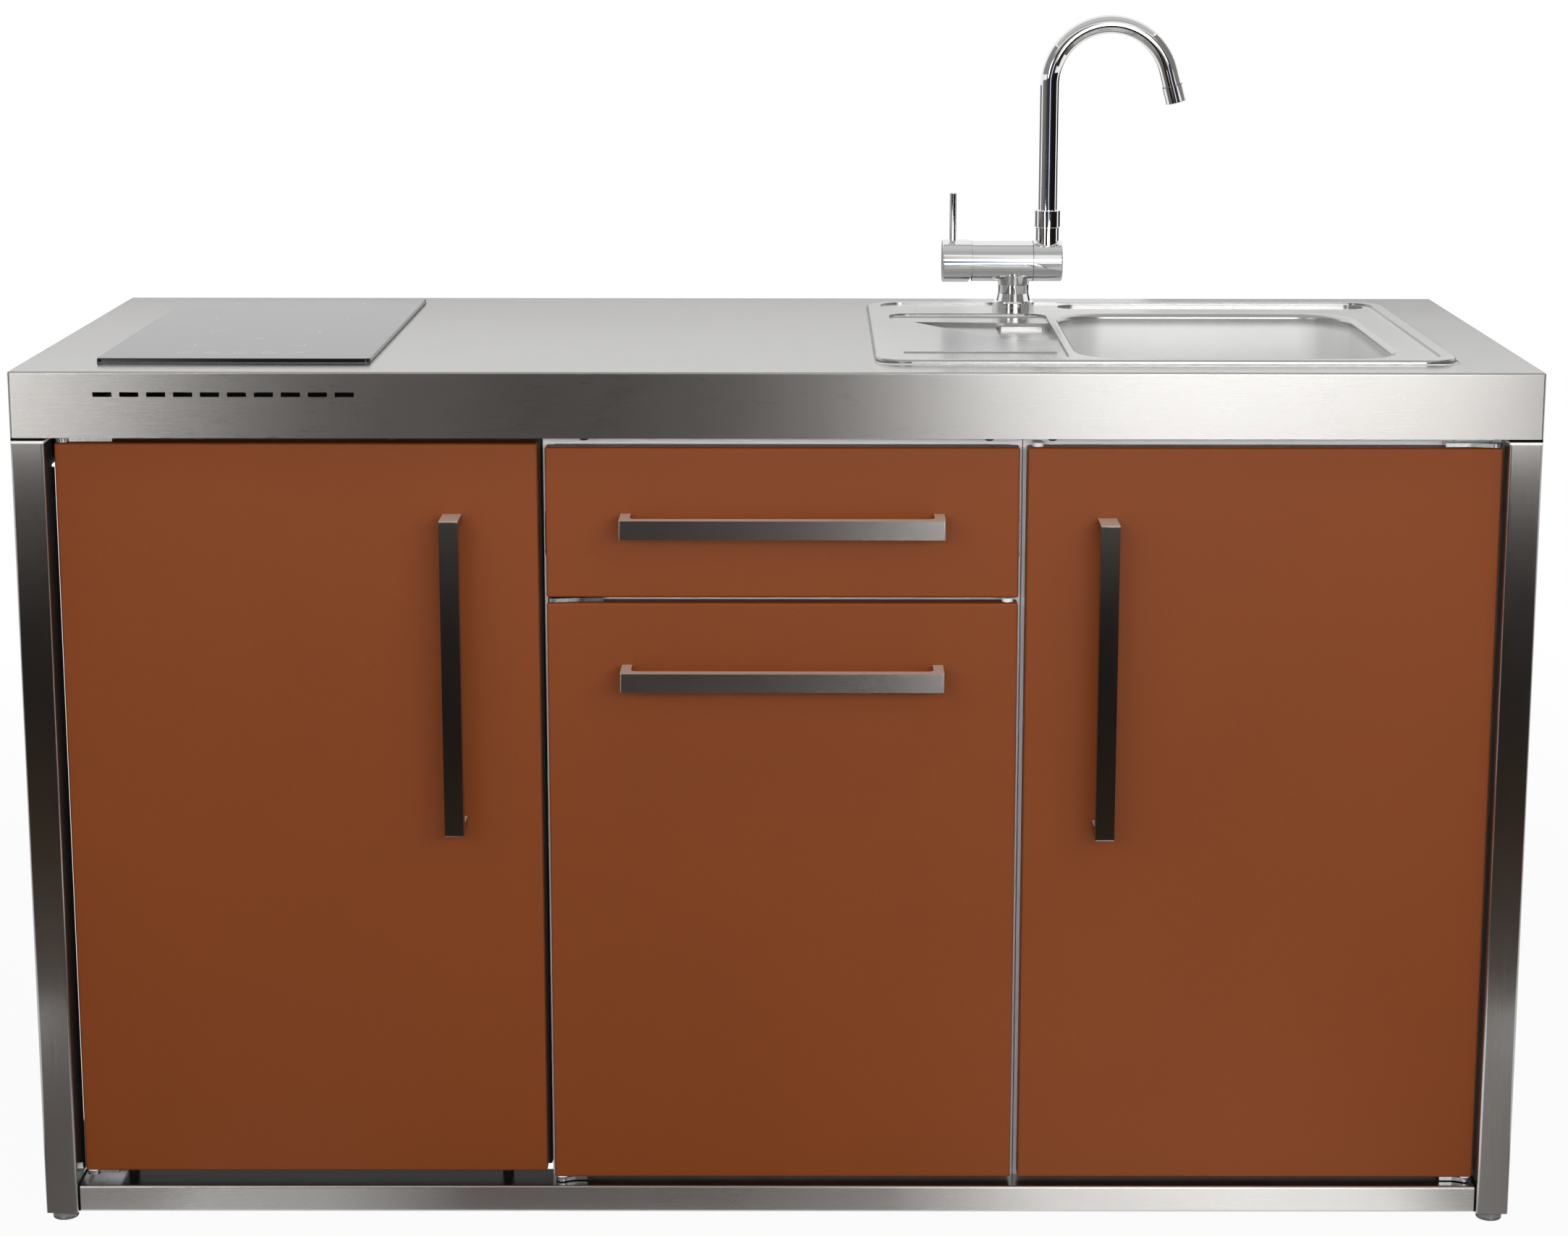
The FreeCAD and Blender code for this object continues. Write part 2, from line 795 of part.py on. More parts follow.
def fridge_hinge(above):
    """The refrigerator's brackets lie flat on its top and under its bottom."""
    pivot_x = left_door_box[0] + pivot_inset
    z = fridge_top if above else fridge_bottom - hinge_plate
    length = hinge_top_length if above else hinge_bottom_length
    disc = rod(hinge_plate_radius, point(pivot_x, pivot_y, z), axis_z, hinge_plate)
    arm = block(pivot_x - hinge_plate_radius, pivot_x + length, pivot_y, cabinet_front + hinge_top_overlap,
                z, z + hinge_plate)
    way = -1 if above else 1
    pin = rod(pivot_pin_radius, point(pivot_x, pivot_y, z + hinge_plate / 2), axis_z * way,
              hinge_plate / 2 + hinge_gap + pivot_pin_length)
    return fuse([disc, arm, pin])


def pivot_x_of(box, side):
    return box[0] + pivot_inset if side < 0 else box[1] - pivot_inset


def make_hinge_brackets():
    middle_x = pivot_x_of(middle_door_box, -1)
    right_x = pivot_x_of(right_door_box, 1)
    carrier = cabinet_front
    brackets = [fridge_hinge(True), fridge_hinge(False)]
    brackets.append(hinge_bracket(middle_x, 1, middle_door_top, True, hinge_top_length, carrier,
                                  middle_door_top + hinge_gap + hinge_plate))
    brackets.append(hinge_bracket(middle_x, 1, front_bottom, False, hinge_bottom_length, carrier,
                                  cabinet_bottom + 0.5))
    brackets.append(hinge_bracket(right_x, -1, front_top, True, hinge_top_length, carrier, apron_bottom - 1))
    brackets.append(hinge_bracket(right_x, -1, front_bottom, False, hinge_bottom_length, carrier,
                                  cabinet_bottom + 0.5))
    return group(brackets)


def make_door_catches():
    catches = []
    stalk_half = catch_radius * 0.75
    for x, door_top in ((middle_door_box[1] - catch_inset, middle_door_top),
                        (right_door_box[0] + catch_inset, front_top)):
        z = door_top + hinge_gap
        button = rod(catch_radius, point(x, pivot_y + catch_setback, z), axis_z, hinge_plate)
        stalk = block(x - stalk_half, x + stalk_half, pivot_y + catch_setback, cabinet_front, z, z + hinge_plate)
        catches.append(fuse([button, stalk]))
    return group(catches)


# Drawer

def runner_channel(x_web, way, reach, half, y0, length):
    """One C-shaped member: its web stands at x_web and its lips point along way."""
    t = runner_sheet
    z = runner_z()
    x_tip = x_web + way * reach
    outer = block(min(x_web, x_tip), max(x_web, x_tip), y0, y0 + length, z - half, z + half)
    a = x_web + way * t
    b = x_tip + way
    return outer.cut(block(min(a, b), max(a, b), y0 - 1, y0 + length + 1, z - half + t, z + half - t))


def make_runner(member):
    x0, x1 = middle_cabinet_sides()
    y0 = cabinet_front + cabinet_sheet + runner_setback
    t = runner_sheet
    half_outer = runner_height / 2
    half_middle = half_outer - t - runner_gap
    half_inner = half_middle - t - runner_gap
    members = []
    for wall, way in ((x0 + cabinet_sheet, 1), (x1 - cabinet_sheet, -1)):
        if member == "outer":
            members.append(runner_channel(wall, way, outer_runner_reach, half_outer, y0, runner_length))
        if member == "middle":
            members.append(runner_channel(wall + way * (t + runner_step), way, middle_runner_reach, half_middle,
                                          y0, runner_length))
        if member == "inner":
            members.append(runner_channel(wall + way * runner_thickness, -way, inner_runner_reach,
                                          half_inner, y0, runner_length))
    return group(members)


def drawer_sides():
    x0, x1 = middle_cabinet_sides()
    inset = cabinet_sheet + runner_thickness
    return x0 + inset, x1 - inset


def make_drawer_box():
    """Bottom, two sides, front and back, welded along their edges, with a rim turned inward."""
    x0, x1 = drawer_sides()
    y0 = front_back_y
    y1 = y0 + drawer_length
    z0 = runner_z() - drawer_height / 2
    z1 = z0 + drawer_height
    t = drawer_sheet
    r = drawer_rim
    panels = [block(x0 + t, x1 - t, y0 + t, y1 - t, z0, z0 + t)]
    for x, way in ((x0, 1), (x1, -1)):
        sheet_x, rim_x = x + way * t, x + way * r
        wall = block(min(x, sheet_x), max(x, sheet_x), y0, y1, z0, z1)
        panels.append(fuse([wall, block(min(x, rim_x), max(x, rim_x), y0, y1, z1 - t, z1)]))
    for y, way in ((y0, 1), (y1, -1)):
        sheet_y, rim_y = y + way * t, y + way * r
        wall = block(x0 + t, x1 - t, min(y, sheet_y), max(y, sheet_y), z0, z1 - t)
        panels.append(fuse([wall, block(x0 + r, x1 - r, min(y, rim_y), max(y, rim_y), z1 - t, z1)]))
    return group(panels)


def make_drawer_box_with_holes(holes):
    box = make_drawer_box()
    for x, z in holes:
        box = box.cut(rod(handle_screw_radius + 0.2, point(x, front_back_y - 1, z), axis_y, drawer_sheet + 2))
    return box


# Refrigerator

def fridge_room():
    """Outer faces of the liner: sides, step, niche roof, back, bottom and top."""
    w = fridge_wall
    return (fridge_left + w, fridge_right - w, fridge_back - niche_depth - w, fridge_back - w,
            fridge_bottom + w, fridge_bottom + niche_height + w, fridge_top - w)


def fridge_cavity():
    x0, x1, step_y, back_y, z0, roof_z, z1 = fridge_room()
    low = block(x0, x1, cabinet_front - 1, step_y, z0, z1)
    high = block(x0, x1, cabinet_front - 1, back_y, roof_z, z1)
    return fuse([low, high])


def knob_centre():
    return point(fridge_right - fridge_wall - fridge_liner_sheet, cabinet_front + knob_setback,
                 fridge_top - knob_drop)


def make_fridge_case():
    """Painted sheet outside, its front edge turned in to the liner."""
    t = fridge_sheet
    body = rounded_block(fridge_left, fridge_right, cabinet_front, fridge_back, fridge_bottom, fridge_top,
                         fridge_corner)
    room = block(fridge_left + t, fridge_right - t, cabinet_front + t, fridge_back - t, fridge_bottom + t,
                 fridge_top - t)
    side = niche_side
    niche_top = fridge_bottom + niche_height
    niche = block(fridge_left + side, fridge_right - side, fridge_back - niche_depth, fridge_back + 1,
                  fridge_bottom + niche_floor, niche_top)
    around = block(fridge_left + side - t, fridge_right - side + t, fridge_back - niche_depth - t, fridge_back + 1,
                   fridge_bottom + niche_floor - t, niche_top + t)
    body = body.cut(niche).cut(room.cut(around)).cut(fridge_cavity())
    feet = []
    for x in (fridge_left + fridge_foot_inset, fridge_right - fridge_foot_inset):
        for y in (cabinet_front + 2 * fridge_foot_radius, fridge_back - 2 * fridge_foot_radius):
            feet.append(rod(fridge_foot_radius, point(x, y, cabinet_bottom), axis_z, fridge_bottom - cabinet_bottom))
    return fuse([body] + feet)


def make_fridge_liner():
    """Moulded panels that clip together along their edges, the sides cut out round the niche."""
    x0, x1, step_y, back_y, z0, roof_z, z1 = fridge_room()
    y0 = cabinet_front
    t = fridge_liner_sheet
    outline = [(y0, z0), (step_y, z0), (step_y, roof_z), (back_y, roof_z), (back_y, z1), (y0, z1)]
    sides = []
    for x in (x0, x1 - t):
        corners = [point(x, y, z) for y, z in outline]
        sides.append(Part.Face(Part.makePolygon(corners + corners[:1])).extrude(axis_x * t))
    bore = rod(knob_shaft_radius + running_gap, knob_centre() - axis_x, axis_x, fridge_liner_sheet + 2 * overshoot)
    sides[1] = sides[1].cut(bore)
    panels = [block(x0 + t, x1 - t, y0, step_y, z0, z0 + t),
              block(x0 + t, x1 - t, step_y - t, step_y, z0 + t, roof_z + t),
              block(x0 + t, x1 - t, step_y, back_y, roof_z, roof_z + t),
              block(x0 + t, x1 - t, back_y - t, back_y, roof_z + t, z1 - t),
              block(x0 + t, x1 - t, y0, back_y, z1 - t, z1)]
    return group(sides + panels)


def make_fridge_ribs():
    """Strips along both sides of the liner that the shelves lie on."""
    w = fridge_wall + fridge_liner_sheet
    y0 = cabinet_front + door_shelf_depth + fridge_rib_front
    ribs = []
    for z in fridge_shelf_heights:
        for x0 in (fridge_left + w, fridge_right - w - fridge_rib):
            ribs.append(block(x0, x0 + fridge_rib, y0, fridge_back - w, z - fridge_rib_height, z))
    return group(ribs)


def make_fridge_shelves():
    w = fridge_wall + fridge_liner_sheet + fridge_shelf_gap
    y0 = cabinet_front + door_shelf_depth + fridge_shelf_front
    shelves = []
    for z in fridge_shelf_heights:
        shelves.append(rounded_block(fridge_left + w, fridge_right - w, y0, fridge_back - w,
                                     z, z + fridge_shelf_thickness, fridge_shelf_corner))
    return group(shelves)


def make_fridge_compressor():
    """Welded dome with a seam round it, on a plate with four rubber feet."""
    x = (fridge_left + fridge_right) / 2
    y = fridge_back - niche_depth / 2
    z = fridge_bottom + niche_floor + compressor_lift
    r = compressor_radius
    h = compressor_height
    seam = compressor_seam
    width, depth, plate_sheet = compressor_plate
    shell = turned([(0, 0), (r * 0.7, 0), (r, h * 0.12), (r, h * 0.43), (r * 0.96, h * 0.57), (r * 0.78, h * 0.71),
                    (r * 0.45, h * 0.8), (0, h * 0.83)], point(x, y, z), axis_z)
    band = turned([(0, h * 0.38), (r + seam, h * 0.38), (r + seam, h * 0.38 + seam), (0, h * 0.38 + seam)],
                  point(x, y, z), axis_z)
    plate = rounded_block(x - width / 2, x + width / 2, y - depth / 2, y + depth / 2, z, z + plate_sheet,
                          compressor_foot_radius)
    pieces = [shell, band, plate]
    for dx in (-width / 2 + compressor_foot_inset, width / 2 - compressor_foot_inset):
        for dy in (-depth / 2 + compressor_foot_inset, depth / 2 - compressor_foot_inset):
            pieces.append(rod(compressor_foot_radius, point(x + dx, y + dy, z - compressor_lift), axis_z,
                              compressor_lift))
    return fuse(pieces)


def make_fridge_condenser():
    """Zigzag tube on the back, with upright wires across it."""
    y = fridge_back + condenser_standoff
    x0 = fridge_left + condenser_side_gap
    x1 = fridge_right - condenser_side_gap
    z0 = fridge_bottom + niche_height + condenser_bottom_gap
    z1 = fridge_top - condenser_side_gap
    pitch = (z1 - z0) / (condenser_passes - 1)
    r = pitch / 2
    edges = []
    for index in range(condenser_passes):
        z = z0 + index * pitch
        start, end = (x0, x1) if index % 2 == 0 else (x1, x0)
        edges.append(Part.LineSegment(point(start, y, z), point(end, y, z)).toShape())
        if index < condenser_passes - 1:
            bulge = r if end == x1 else -r
            edges.append(Part.Arc(point(end, y, z), point(end + bulge, y, z + r),
                                  point(end, y, z + pitch)).toShape())
    pieces = [pipe(condenser_radius, Part.Wire(edges))]
    half = condenser_wire / 2
    end = condenser_wire_end
    span = x1 - x0 - 2 * condenser_wire_inset
    for index in range(condenser_wire_count):
        x = x0 + condenser_wire_inset + index * span / (condenser_wire_count - 1)
        pieces.append(block(x - half, x + half, y + condenser_radius - half, y + condenser_radius + half,
                            z0 - end, z1 + end))
    half = condenser_clip / 2
    for x in (x0 + condenser_clip * 2, x1 - condenser_clip * 2):
        for z in (z0 + pitch, z1 - pitch):
            pieces.append(block(x - half, x + half, fridge_back, y, z - condenser_wire, z + condenser_wire))
    return fuse(pieces)


def make_thermostat_knob():
    centre = knob_centre()
    shaft = rod(knob_shaft_radius, centre - axis_x * knob_length / 2, axis_x, knob_shaft_length)
    taper = knob_length / 8
    dial = turned([(0, 0), (knob_radius, 0), (knob_radius - taper, knob_length), (0, knob_length)],
                  centre - axis_x * seat_gap, axis_x * -1)
    x = centre.x - seat_gap - knob_length
    half = knob_grip_width / 2
    reach = knob_radius - taper
    grip = block(x - knob_grip, x + taper, centre.y - half, centre.y + half, centre.z - reach, centre.z + reach)
    return fuse([shaft, dial, grip])


def left_door_plug():
    inset = fridge_wall + fridge_liner_sheet + door_plug_gap
    return fridge_left + inset, fridge_right - inset, fridge_bottom + inset, fridge_top - inset


def make_left_door_liner(holes):
    """Moulded sheet behind the core, with a raised frame that reaches into the refrigerator."""
    x0, x1, z0, z1 = left_door_plug()
    t = door_liner_sheet
    wall = door_plug_wall
    rear = cabinet_front + door_plug
    y0 = front_back_y
    edge = front_flange + front_sheet
    sheet = block(left_door_box[0] + edge, left_door_box[1] - edge, y0, y0 + t, left_door_box[2] + edge,
                  left_door_box[3] - edge)
    plug = rounded_block(x0, x1, y0, rear, z0, z1, door_plug_corner, axis_y)
    room = rounded_block(x0 + wall, x1 - wall, y0 + t, rear + overshoot, z0 + wall, z1 - wall,
                         door_plug_corner / 2, axis_y)
    liner = fuse([sheet, plug.cut(room)])
    for x, z in holes:
        liner = liner.cut(rod(handle_screw_head_radius + 2 * seat_gap, point(x, y0 - overshoot, z), axis_y,
                              rear - y0 + 2 * overshoot))
    return liner


def make_left_door_gasket():
    x0, x1, z0, z1 = left_door_box
    i = gasket_inset
    w = gasket_width
    y0 = front_back_y + door_liner_sheet
    y1 = cabinet_front - seat_gap
    ring = rounded_block(x0 + i, x1 - i, y0, y1, z0 + i, z1 - i, w / 2, axis_y)
    return ring.cut(rounded_block(x0 + i + w, x1 - i - w, y0 - overshoot, y1 + overshoot, z0 + i + w, z1 - i - w,
                                  w / 4, axis_y))


def make_left_door_shelves():
    x0, x1, z0, z1 = left_door_plug()
    t = door_shelf_wall
    y0 = front_back_y + door_liner_sheet
    y1 = y0 + door_shelf_depth
    shelves = []
    for z in door_shelf_heights:
        a = x0 + door_plug_wall + seat_gap
        b = x1 - door_plug_wall - seat_gap
        tray = rounded_block(a, b, y0, y1, z, z + door_shelf_height, door_shelf_corner)
        shelves.append(tray.cut(rounded_block(a + t, b - t, y0 + t, y1 - t, z + t, z + door_shelf_height + overshoot,
                                              door_shelf_corner - t)))
    return group(shelves)


# Hob

def make_hob_glass():
    z0 = worktop_height + hob_seal
    glass = rounded_block(hob_left, hob_left + hob_width, hob_front, hob_front + hob_depth, z0, z0 + hob_glass,
                          hob_corner)
    rim = [e for e in glass.Edges if e.BoundBox.ZMin > z0 + hob_glass - 0.01]
    return glass.makeChamfer(1.0, rim)


def hob_case_floor():
    return worktop_height + hob_seal - hob_case_height


def make_hob_casing():
    i = hob_case_inset
    t = hob_case_sheet
    z0 = hob_case_floor()
    z1 = worktop_height + hob_seal
    x0 = hob_left + i
    x1 = hob_left + hob_width - i
    y0 = hob_front + i
    y1 = hob_front + hob_depth - i
    tray = rounded_block(x0, x1, y0, y1, z0, z1, hob_cutout_gap + t)
    tray = tray.cut(rounded_block(x0 + t, x1 - t, y0 + t, y1 - t, z0 + t, z1 + overshoot, hob_cutout_gap))
    edge = hob_seal_inset
    rest = rounded_block(hob_left + edge, hob_left + hob_width - edge, hob_front + edge, hob_front + hob_depth - edge,
                         worktop_height, z1, hob_corner)
    rest = rest.cut(block(x0 + t, x1 - t, y0 + t, y1 - t, z0, z1 + overshoot))
    clips = []
    for y in (y0 + hob_clip_inset, y1 - hob_clip_inset - clip_width):
        for x, way in ((x0, -1), (x1, 1)):
            leaf_end = x + way * hob_clip_leaf
            foot_end = x + way * (hob_cutout_gap + hob_clip_foot)
            clips.append(block(min(x, leaf_end), max(x, leaf_end), y, y + clip_width, z0 + t, core_bottom))
            clips.append(block(min(x, foot_end), max(x, foot_end), y, y + clip_width,
                               core_bottom - hob_clip_sheet, core_bottom))
    casing = fuse([tray, rest] + clips)
    vent_end = y1 - hob_vent_pitch
    for index in range(hob_vent_count):
        x = hob_centre + (index - (hob_vent_count - 1) / 2) * hob_vent_pitch
        casing = casing.cut(block(x - hob_vent_width / 2, x + hob_vent_width / 2,
                                  vent_end - hob_vent_length, vent_end, z0 - overshoot, z0 + t + overshoot))
    return casing


def heater_centres():
    return [(hob_centre, hob_front + heater_insets[0]), (hob_centre, hob_front + hob_depth - heater_insets[1])]


def make_hob_heaters():
    heaters = []
    z0 = hob_case_floor() + hob_case_sheet
    z1 = worktop_height + hob_seal
    w = heater_wall
    for (x, y), r in zip(heater_centres(), heater_radii):
        floor = heater_floor
        dish = turned([(0, 0), (r - heater_edge, 0), (r, heater_edge), (r, z1 - z0), (r - w, z1 - z0), (r - w, floor),
                       (0, floor)], point(x, y, z0), axis_z)
        coils = []
        for share in (0.3, 0.55, 0.8):
            inner = r * share
            outer = inner + heater_coil
            coils.append(turned([(inner, floor - seat_gap), (outer, floor - seat_gap), (outer, floor + heater_coil),
                                 (inner, floor + heater_coil)], point(x, y, z0), axis_z))
        heaters.append(fuse([dish] + coils))
    return group(heaters)


def make_hob_board():
    """Circuit board on four posts, with the touch keys that reach up to the glass."""
    x0 = hob_left + hob_case_inset + board_side_gap
    x1 = hob_left + hob_width - hob_case_inset - board_side_gap
    y0 = hob_front + hob_case_inset + board_front_gap
    y1 = y0 + board_depth
    z0 = hob_case_floor() + hob_case_sheet
    z1 = z0 + board_lift
    top = z1 + board_thickness
    pieces = [block(x0, x1, y0, y1, z1, top)]
    i = board_post_inset
    for x in (x0 + i, x1 - i):
        for y in (y0 + i, y1 - i):
            pieces.append(rod(board_post_radius, point(x, y, z0), axis_z, board_lift))
    width, depth, height = board_part
    a, b = board_part_inset
    pieces.append(block(x0 + a, x0 + a + width, y0 + b, y0 + b + depth, top, top + height))
    for index in range(key_count):
        x = hob_centre + index * key_pitch
        pieces.append(rod(key_radius, point(x, y0 + key_setback, top), axis_z,
                          worktop_height + hob_seal - seat_gap - top))
    return fuse(pieces)


# Sink

def sink_block(left, width, near, length, z0, z1, radius, grow=0.0):
    x0 = sink_left + left - grow
    y0 = sink_front + near - grow
    return rounded_block(x0, x0 + width + 2 * grow, y0, y0 + length + 2 * grow, z0, z1, radius + grow)


def bowl_volume(grow, top):
    """The bowl as a solid, its mouth flared into the plane at top."""
    well = sink_block(bowl_left, bowl_width, bowl_front, bowl_length, bowl_bottom - grow, top, bowl_corner, grow)
    floor = [e for e in well.Edges if e.BoundBox.ZMax < bowl_bottom + 1]
    well = well.makeFillet(bowl_floor_radius + grow, floor)
    lid = sink_block(bowl_left, bowl_width, bowl_front, bowl_length, top, top + bowl_lip, bowl_corner,
                     grow + 2 * bowl_lip)
    both = well.fuse(lid)
    reach_x = bowl_width / 2 + grow + overshoot
    reach_y = bowl_length / 2 + grow + overshoot
    mouth = []
    for edge in both.Edges:
        box = edge.BoundBox
        level = abs(box.ZMin - top) < 0.01 and abs(box.ZMax - top) < 0.01
        inside_x = abs(box.XMin - waste_x) < reach_x and abs(box.XMax - waste_x) < reach_x
        inside_y = abs(box.YMin - waste_y) < reach_y and abs(box.YMax - waste_y) < reach_y
        if level and inside_x and inside_y:
            mouth.append(edge)
    return both.makeFillet(bowl_lip - grow, mouth)


def drainer_volume(grow):
    """Everything pressed down into the drainer: field, fan and pocket, as one solid."""
    top = sink_field + sink_rim_height
    level = sink_field - drainer_drop - grow
    field = sink_block(drainer_left, drainer_width, drainer_front, drainer_length, level, top, drainer_corner, grow)
    x1 = sink_left + pocket_left + pocket_width
    x0 = sink_left + pocket_left
    y0 = sink_front + pocket_front
    y1 = y0 + pocket_length
    tip = sink_left + fan_tip
    g = grow
    fan = slab([(tip - 2 * g, y1 + fan_tip_rise + g), (x1 + g, y1 + g), (x1 + g, y0 - g), (x0 - g, y0 - g)],
               level - fan_drop, top)
    pocket = sink_block(pocket_left, pocket_width, pocket_front, pocket_length, level - pocket_drop, top,
                        pocket_corner, g)
    outlet = block(outlet_x - outlet_size / 2 - g, outlet_x + outlet_size / 2 + g, outlet_y - outlet_size / 2 - g,
                   outlet_y + outlet_size / 2 + g, outlet_floor - g, top)
    return fuse([field, fan, pocket, outlet])


def make_sink():
    """Pressed from one sheet: a rim band round a lower field, with bowl, rear groove and drainer let into it."""
    t = sink_sheet
    band = sink_rim_width
    ease = sink_field_ease
    foot = sink_foot_inset
    o = overshoot
    plate = sink_block(0, sink_width, 0, sink_depth, worktop_height, sink_top, sink_corner)
    top_edges = [e for e in plate.Edges if e.BoundBox.ZMin > sink_top - face_gap]
    plate = plate.makeFillet(sink_rim_radius, top_edges)
    under = sink_block(foot, sink_width - 2 * foot, foot, sink_depth - 2 * foot, worktop_height - o, sink_field - t,
                       sink_corner - foot)
    under_rim = sink_block(foot, sink_width - 2 * foot, foot, sink_depth - 2 * foot, worktop_height, sink_top - t,
                           sink_corner - foot)
    under_rim = under_rim.cut(sink_block(band - t, sink_width - 2 * band + 2 * t, band - ease - t,
                                         sink_depth - 2 * band + 2 * ease + 2 * t, worktop_height - o, sink_top,
                                         sink_corner - band + ease + t))
    groove_end = groove_width / 2 - seat_gap
    groove = sink_block(groove_left, groove_length, groove_front, groove_width, sink_field - groove_drop,
                        sink_top + o, groove_end)
    groove_skin = sink_block(groove_left, groove_length, groove_front, groove_width, sink_field - groove_drop - t,
                             sink_field, groove_end, t)
    field = sink_block(band, sink_width - 2 * band, band - ease, sink_depth - 2 * band + 2 * ease, sink_field,
                       sink_top + o, sink_corner - band + ease)
    below_field = block(-half_width, half_width, front, back, 0, sink_field)
    bowl_skin = bowl_volume(t, sink_field - t).common(below_field)
    drainer_skin = drainer_volume(t).common(below_field)
    outside = fuse([plate.cut(under).cut(under_rim), groove_skin, bowl_skin, drainer_skin])
    sheet = outside.cut(field).cut(groove).cut(bowl_volume(0, sink_field)).cut(drainer_volume(0))
    rib_z = sink_field - drainer_drop - rib_radius + rib_rise
    floor_slab = block(-half_width, half_width, front, back, sink_field - drainer_drop - t, sink_top)
    x1 = sink_left + drainer_left + drainer_width - rib_end_gap
    ribs = []
    for near, length in rib_lines:
        rib = rod(rib_radius, point(x1 - length, sink_front + near, rib_z), axis_x, length)
        ribs.append(rib.common(floor_slab))
    sheet = fuse([sheet] + ribs)
    hole = 2 * sink_rim_height
    sheet = sheet.cut(rod(waste_radius + seat_gap, point(waste_x, waste_y, bowl_bottom - hole / 2), axis_z, hole))
    sheet = sheet.cut(rod(outlet_radius, point(outlet_x, outlet_y, outlet_floor - hole / 2), axis_z, hole))
    return sheet.cut(rod(stud_radius + o, point(tap_x, tap_y, sink_field - hole), axis_z, 2 * hole))


def make_sink_clips():
    """Eight spring clips that hook the sink's underside to the board."""
    clips = []
    inset = sink_cutout_inset + clip_sheet / 3
    z1 = sink_field - sink_sheet
    z0 = core_bottom - clip_drop
    for x in (sink_left + clip_inset, sink_left + sink_width - clip_inset):
        for y, way in ((sink_front + inset, -1), (sink_front + sink_depth - inset, 1)):
            inner = y - way * clip_sheet
            outer = y + way * clip_foot
            clips.append(fuse([block(x, x + clip_width, min(y, inner), max(y, inner), z0, z1),
                               block(x, x + clip_width, min(inner, outer), max(inner, outer), z0, core_bottom)]))
    for y in (sink_front + clip_setback, sink_front + sink_depth - clip_setback):
        for x, way in ((sink_left + inset, -1), (sink_left + sink_width - inset, 1)):
            inner = x - way * clip_sheet
            outer = x + way * clip_foot
            clips.append(fuse([block(min(x, inner), max(x, inner), y, y + clip_width, z0, z1),
                               block(min(inner, outer), max(inner, outer), y, y + clip_width, z0, core_bottom)]))
    return group(clips)


def make_sink_waste():
    """Cup under the bowl's hole, with a flange on the bowl and a nut below it."""
    t = waste_sheet
    r = waste_radius
    p = waste_pipe_radius - waste_pipe_wall
    pipe_outside = waste_pipe_radius
    depth = waste_cup_depth
    spigot = waste_cup_depth + waste_spigot
    nut = waste_nut_radius
    nut_low = -sink_sheet - clip_sheet * 2
    taper = 4 * t
    rim = waste_flange_height
    profile = [(p, -spigot), (pipe_outside, -spigot), (pipe_outside, -depth), (r - taper, -depth),
               (r - t / 2, -depth + taper), (r, nut_low), (nut, nut_low), (nut, -sink_sheet), (r, -sink_sheet),
               (r, 0), (waste_flange_radius, 0), (waste_flange_radius - t, rim), (r - t, rim),
               (r - t * 1.5, -depth + taper + t), (r - taper - t, -depth + t), (p, -depth + t)]
    return turned(profile, point(waste_x, waste_y, bowl_bottom), axis_z)


def make_strainer_basket():
    """Perforated cup that hangs by its rim in the waste, with a lifting stem."""
    r = waste_radius - waste_sheet * 1.5 - seat_gap - basket_gap
    depth = waste_cup_depth - basket_lift
    w = basket_wall
    rim = waste_flange_radius - basket_rim
    seat = waste_flange_height + seat_gap
    centre = point(waste_x, waste_y, bowl_bottom)
    profile = [(0, -depth), (r - 3 * w, -depth), (r - w, -depth + 3 * w), (r, seat), (rim, seat), (rim, seat + w),
               (r - w, seat + w), (r - 2 * w, -depth + 4 * w), (r - 4 * w, -depth + w), (0, -depth + w)]
    basket = turned(profile, centre, axis_z)
    for share, count in zip(basket_ring_shares, basket_hole_counts):
        for index in range(count):
            angle = 2 * math.pi * index / count
            hole = point(waste_x + r * share * math.cos(angle), waste_y + r * share * math.sin(angle),
                         bowl_bottom - depth - w)
            basket = basket.cut(rod(basket_hole_radius, hole, axis_z, 4 * w))
    stem = turned([(0, -depth - 2 * w), (2.5 * w, -depth - 2 * w), (2.5 * w, -10 * w), (6 * w, -9 * w),
                   (6 * w, -6 * w), (3 * w, -5 * w), (0, -5 * w)], centre, axis_z)
    return fuse([basket, stem])


def trap_top():
    return bowl_bottom - waste_cup_depth - waste_spigot


def trap_arm_height():
    return trap_top() - trap_drop - trap_arm_drop


